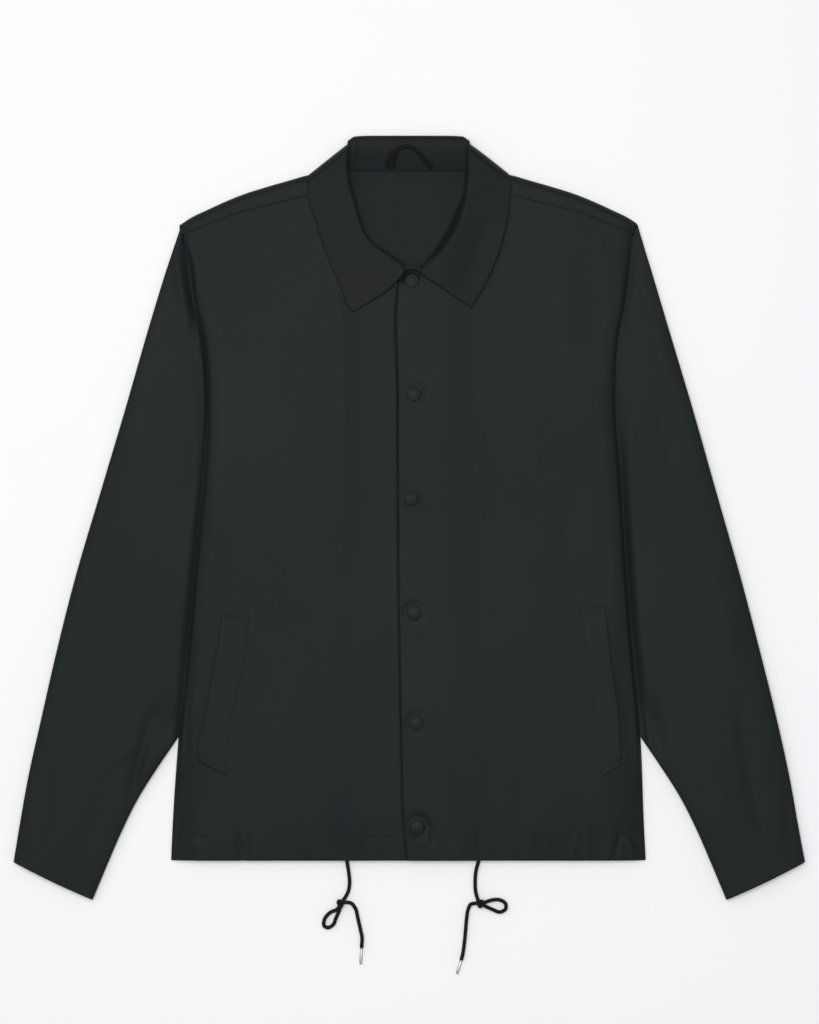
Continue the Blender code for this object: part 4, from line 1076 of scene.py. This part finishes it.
# The collar: two layers of nylon with a stiffener between, so it keeps a crisp edge and stands up a little.
# Its ends fold out round the neck on the fronts. Its back shows the inside of the stand and goes over to the
# table behind it.
COLLAR_THICK = 1.4
COLLAR_BULGE = 3.2
COLLAR_ROLL = 5.5
COLLAR_END_ROLL = 9.0
COLLAR_REST = 10.15
COLLAR_LAP_EDGE = -9.8
COLLAR_TONES = ((0.0082, 0.0092, 0.0118), (0.0084, 0.0132, 0.0120))
COLLAR = {
    "right": {
        "fold": ((4.9, 259.6), (22.2, 273.0), (37.3, 283.0), (45.9, 294.0), (52.1, 310.6), (56.2, 327.6),
                 (60.9, 343.7), (63.0, 357.6), (62.4, 373.6), (59.2, 389.6)),
        "outer": ((57.8, 211.6), (62.6, 216.5), (68.0, 229.6), (74.3, 245.6), (82.0, 263.2), (89.3, 283.3),
                  (96.5, 305.5), (102.7, 324.0), (104.7, 341.6), (104.3, 354.2)),
        "front": ((4.9, 259.6), (5.9, 252.4), (12.9, 243.9), (22.2, 234.3), (41.2, 221.9), (57.8, 211.6)),
        "turn": ((59.2, 389.6), (68.0, 383.0), (80.0, 373.6), (104.3, 354.2)),
        "stand": ((0.0, 0.5), (0.3, 0.9), (0.7, 0.9), (1.0, 0.9)),
        "lift": ((0.0, 0.2), (0.25, 0.3), (0.45, 1.5), (0.62, 0.5), (1.0, 0.0)),
    },
    "left": {
        "fold": ((10.8, 257.0), (18.9, 264.2), (31.5, 275.5), (43.9, 293.1), (52.1, 311.7), (56.8, 330.8),
                 (58.6, 344.0), (59.4, 357.6), (59.2, 373.6), (58.2, 389.2)),
        "outer": ((63.5, 216.7), (66.5, 220.6), (77.3, 239.4), (86.8, 259.6), (93.1, 277.0), (97.8, 294.1),
                  (101.7, 311.7), (103.3, 330.8), (104.1, 346.8), (102.4, 355.4)),
        "front": ((10.8, 257.0), (13.4, 251.4), (28.4, 240.5), (45.7, 228.1), (63.5, 216.7)),
        "turn": ((58.2, 389.2), (68.0, 382.2), (80.0, 373.2), (102.4, 355.4)),
        "stand": ((0.0, 1.5), (0.1, 3.6), (0.25, 7.6), (0.44, 8.2), (0.54, 5.2), (0.64, 3.2), (1.0, 2.8)),
        "lift": ((0.0, 0.6), (0.2, 1.6), (0.45, 2.6), (0.62, 1.6), (0.75, 0.4), (1.0, 0.0)),
    },
}
STAND_SECTION = table(
    "share height",
    (0.00, 2.3),
    (0.12, 3.9),
    (0.36, 6.8),
    (0.60, 9.0),
    (0.78, 9.7),
    (0.91, 9.0),
    (0.98, 7.0),
    (1.00, 4.6),
    (0.97, 1.8),
    (0.90, 0.4),
    (0.80, 0.0),
    (0.45, 0.0),
    (0.08, 0.0),
)
STAND_TOP_Y = 394.2
STAND_WIDTH = table(
    "share half",
    (0.00, 66.0),
    (0.86, 62.4),
    (1.00, 56.4),
)
STAND_SHIFT = -0.9
STAND_CREASE_X = -54.2
STAND_TALL = STAND_TOP_Y - STAND_SEAM_Y
STAND_FOOT = 2.0
STAND_STITCH = 2.2


def line_distance(points, start, end):
    """Distance of each point, in plan, from the stretch between start and end."""
    start, run = np.array(start), np.array(end) - np.array(start)
    share = np.clip(((points - start) @ run) / (run @ run), 0.0, 1.0)
    return np.linalg.norm(points - start - share[..., None] * run, axis=-1)


def collar_grid(side):
    """Outer points of a collar end: a strip of the stand's inside below the neck fold, the fold's roll and
    the leaf, which bulges at the fold, lifts a little along its edge and rolls down where it turns back."""
    edges = COLLAR[side]
    v = stretches((0.0, 0.16, 14), (0.19, 0.92, 26), (0.94, 1.0, 5))[None, :]
    u = stretches((0.0, 0.05, 6), (0.07, 0.84, 70), (0.85, 1.0, 18))[:, None]
    plan = patch(edges["front"], edges["turn"], edges["fold"], edges["outer"], u, v)
    x, y = plan[..., 0], plan[..., 1]
    lap = lap_rise(x, COLLAR_LAP_EDGE, body_side(y, side)) if side == "left" else 0.0
    laid = COLLAR_REST + lap + GAP + CAD_CLOTH
    from_fold = np.linalg.norm(plan - plan[:, :1], axis=-1)
    lift = np.interp(u, *np.array(edges["lift"]).T)
    high = laid + COLLAR_BULGE * (1.0 - step(v, 0.1, 0.95)) + lift * step(v, 0.55, 1.0)
    high = high + drape(x, y, 0.35, 0.7) * step(v, 0.0, 0.2)
    lip = laid - CAD_CLOTH + EDGE_DROP
    z = lip + (high - lip) * roll(from_fold, COLLAR_ROLL)
    turn = edges["turn"]
    from_turn = np.minimum(line_distance(plan, turn[0], turn[1]), line_distance(plan, turn[1], turn[2]))
    from_turn = np.minimum(from_turn, line_distance(plan, turn[2], turn[3]))
    from_turn = np.where(u >= 1.0, 0.0, from_turn)
    low = EDGE_DROP + 0.2
    z = low + (z - low) * roll(from_turn, COLLAR_END_ROLL)
    leaf = np.concatenate((plan, z[..., None]), axis=-1)
    inward = unit(plan[:, :1] - plan[:, 2:3])
    shown = np.array(edges["stand"]).T
    reach = np.interp(u[:, 0], shown[0], shown[1])[:, None]
    down = np.linspace(1.0, 0.0, 9)[None, :-1]
    strip = leaf[:, :1, :2] + inward * (reach * down)[..., None]
    strip_z = STAND_FOOT + (leaf[:, :1, 2] - STAND_FOOT) * (1.0 - down)
    strip = np.concatenate((strip, np.minimum(strip_z, leaf[:, :1, 2])[..., None]), axis=-1)
    return np.concatenate((strip, leaf), axis=1)


def stand_point(share_x, run):
    """Point of the collar's back at a share of its half width and a share of its section's length."""
    section = along(pairs(STAND_SECTION) * (STAND_TALL, 1.0), run)
    up = section[..., 0] / STAND_TALL
    x = share_x * np.interp(up, STAND_WIDTH["share"], STAND_WIDTH["half"]) + STAND_SHIFT
    droop = 0.9 * share_x**8
    y = STAND_SEAM_Y + up * (STAND_TALL - droop)
    inside = step(-run, -0.42, -0.36)
    crease = 1.1 * groove(x - STAND_CREASE_X - 0.06 * (y - STAND_SEAM_Y), 1.6) * step(y, 360.0, 368.0)
    z = np.maximum(section[..., 1], 0.0) + inside * (drape(x, y, 0.3, 0.2) - crease)
    return np.stack((x, y, z), axis=-1)


def stand_height(y):
    """Height of the inside of the stand, which rises from the neck seam to the collar's top."""
    rising = pairs(STAND_SECTION)[:6].T
    return np.interp((y - STAND_SEAM_Y) / STAND_TALL, *rising)


COLLAR_NYLON = yarn_material("collar_nylon", COLLAR_TONES, 0.52, WEAVE_PITCH, WEAVE_HEIGHT, 0.00006,
                             sheen=NYLON_SHEEN, patches=9.0)
for side in ("right", "left"):
    leaf = cloth(f"collar_leaf_{side}", to_side(collar_grid(side), side), COLLAR_NYLON, "collar_nylon",
                 (f"collar_{side}",), thickness=COLLAR_THICK)
stand_runs = stretches((0.0, 0.34, 34), (0.345, 0.62, 40), (0.63, 1.0, 16))[:, None]
stand_grid = stand_point(np.linspace(-1.0, 1.0, 81)[None, :], stand_runs)
stand = cloth("collar_back", stand_grid, COLLAR_NYLON, "collar_nylon", ("collar_stand",))
seam_x = np.arange(-57.0, 57.0, 1.0)
seam_y = np.full(seam_x.shape, STAND_SEAM_Y + STAND_STITCH)
seam_line = np.column_stack((seam_x, seam_y, stand_height(seam_y) + 0.1))
stand_thread = stitches("collar_stitches", [seam_line])

# The hanger loop: a narrow tape of folded nylon, sewn into the neck seam at both ends with bars of close
# stitches. It lies in an arch on the inside of the collar's stand.
LOOP_WIDTH = table(
    "share width",
    (0.00, 8.6),
    (0.20, 8.0),
    (0.34, 5.0),
    (0.50, 4.0),
    (1.00, 4.2),
)
LOOP_THICK = 1.0
LOOP_LIFT = 0.35
LOOP_CROWN = 0.35
LOOP_BOW = 1.6
LOOP_TONES = ((0.0064, 0.0063, 0.0084), (0.0079, 0.0090, 0.0100))
HANGER_ROUTE = ((-19.4, 360.4), (-18.6, 369.5), (-15.4, 376.4), (-9.8, 380.6), (-3.6, 382.2), (2.6, 381.0),
                (6.9, 378.4), (12.2, 372.8), (18.0, 366.0), (22.5, 360.4))


LOOP_TAPE = yarn_material("loop_tape", LOOP_TONES, 0.6, 0.0008, 0.00004, 0.00006, sheen=NYLON_SHEEN,
                          specular=0.06)
tape_share = np.linspace(0.0, 1.0, 90)
tape_line = along(HANGER_ROUTE, tape_share)
tape_way = unit(np.gradient(tape_line, axis=0))
tape_aside = np.column_stack((tape_way[:, 1], -tape_way[:, 0]))
tape_across = np.linspace(0.5, -0.5, 11)
tape_wide = smooth(tape_share, *LOOP_WIDTH.values())
tape_plan = tape_line[None] + tape_across[:, None, None] * (tape_wide[:, None] * tape_aside)[None]
tape_crown = LOOP_CROWN * (1.0 - (2.0 * tape_across) ** 4)[:, None]
tape_crown = tape_crown + LOOP_BOW * np.sin(math.pi * tape_share)[None, :] ** 2
tape_z = stand_height(tape_plan[..., 1]) + LOOP_LIFT + LOOP_THICK + tape_crown
tape_grid = np.concatenate((tape_plan, tape_z[..., None]), axis=-1)
loop = cloth("hanger_tape", tape_grid, LOOP_TAPE, "loop_tape", ("hanger_loop",), thickness=LOOP_THICK)
bars = [tape_grid[:, row] + (0.0, 0.0, 0.15) for row in (2, 4, 85, 87)]
loop_thread = stitches("hanger_stitches", bars)

# The pocket welts: a folded strip of shell nylon over each slanted pocket mouth, stitched down on the side
# towards the front edge and at both ends. The long side towards the sleeve is left open for the hand.
WELT_THICK = 0.7
WELT_OPEN_LIFT = 1.7
WELT_SEWN_LIFT = 0.14
WELT_END = 3.0
WELT_RIDGE = 0.5
WELT_LOOSE = 14.0
WELTS = {
    "right": {
        "outer": ((193.2, -98.8), (197.6, -134.2), (205.9, -177.0), (212.1, -214.7), (218.2, -236.0),
                  (217.8, -252.8)),
        "inner": ((165.6, -101.1), (168.6, -139.3), (176.6, -177.0), (184.5, -214.7), (188.3, -247.7),
                  (189.4, -267.3)),
    },
    "left": {
        "outer": ((201.2, -90.8), (204.9, -126.9), (211.0, -170.3), (214.9, -200.0), (216.6, -229.1),
                  (218.4, -257.0)),
        "inner": ((175.1, -96.0), (180.0, -130.0), (187.2, -177.5), (191.4, -210.5), (194.1, -245.6),
                  (199.7, -267.3)),
    },
}


def welt_points(side, across, down):
    """Points of a welt: on the front, higher along its open side, with a soft ridge at both ends."""
    edges = WELTS[side]
    inner, outer = np.asarray(edges["inner"]), np.asarray(edges["outer"])
    plan = patch(inner, outer, (inner[0], outer[0]), (inner[-1], outer[-1]), across, down)
    long = runs(inner)[-1]
    from_top, from_low = down * long, (1.0 - down) * long
    loose = step(np.minimum(from_top, from_low), 0.0, WELT_LOOSE)
    lift = WELT_SEWN_LIFT + (WELT_OPEN_LIFT - WELT_SEWN_LIFT) * across**1.5 * (0.3 + 0.7 * loose)
    ends = groove(from_top - WELT_END, 1.2) + groove(from_low - WELT_END, 1.2)
    z = front_height(plan[..., 0], plan[..., 1], side) + lift + WELT_RIDGE * ends
    return np.concatenate((plan, z[..., None]), axis=-1)


for side in ("right", "left"):
    welt_across = np.linspace(0.0, 1.0, 26)[None, :]
    welt_down = stretches((1.0, 0.93, 12), (0.92, 0.08, 70), (0.07, 0.0, 12))[:, None]
    welt_grid = to_side(welt_points(side, welt_across, welt_down), side)
    welt = shell_piece(f"welt_cloth_{side}", welt_grid, f"welt_{side}", thickness=WELT_THICK)
    welt_rows = [(np.full((1, 120), 0.1), np.linspace(0.02, 0.98, 120)[None, :])]
    for row in (0.012, 0.03, 0.97, 0.988):
        welt_rows.append((np.linspace(0.08, 0.95, 30)[None, :], np.full((1, 30), row)))
    welt_lines = [welt_points(side, *row)[0] * (HAND[side], 1.0, 1.0) for row in welt_rows]
    welt_thread = stitches(f"welt_stitches_{side}", welt_lines)

# The snaps: six pressed metal caps, painted to match the cloth, each about 14 mm across.
# A cap is riveted through the left front and its facing, and holds on a socket in the right front.
SNAP_SINK = 0.4
SNAP_SIDES = 56
SNAP_PROFILE = ((0.0, 0.0), (6.5, 0.0), (7.0, 0.2), (7.2, 0.65), (7.14, 1.15), (6.85, 1.55), (6.45, 1.80),
                (6.1, 1.9), (5.75, 1.93), (5.4, 1.99), (4.6, 2.16), (3.5, 2.36), (2.2, 2.51), (1.0, 2.58),
                (0.0, 2.6))
SNAP_AXES = ((1.0, 0.0, 0.0), (0.0, 1.0, 0.0), (0.0, 0.0, 1.0))
SNAP_PAINT = metal_material("snap_paint", (0.0108, 0.0146, 0.0146), 0.42, 0.0, 0.10, specular=0.10)
for number, (at_x, at_y) in enumerate(zip(SNAPS["x"], SNAPS["y"]), start=1):
    floor_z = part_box(f"snap_{number}")[0][2] / MM - SNAP_SINK
    lathe(f"snap_cap_{number}", SNAP_PROFILE, SNAP_SIDES, SNAP_AXES, (at_x, at_y, floor_z), SNAP_PAINT,
          (f"snap_{number}",))
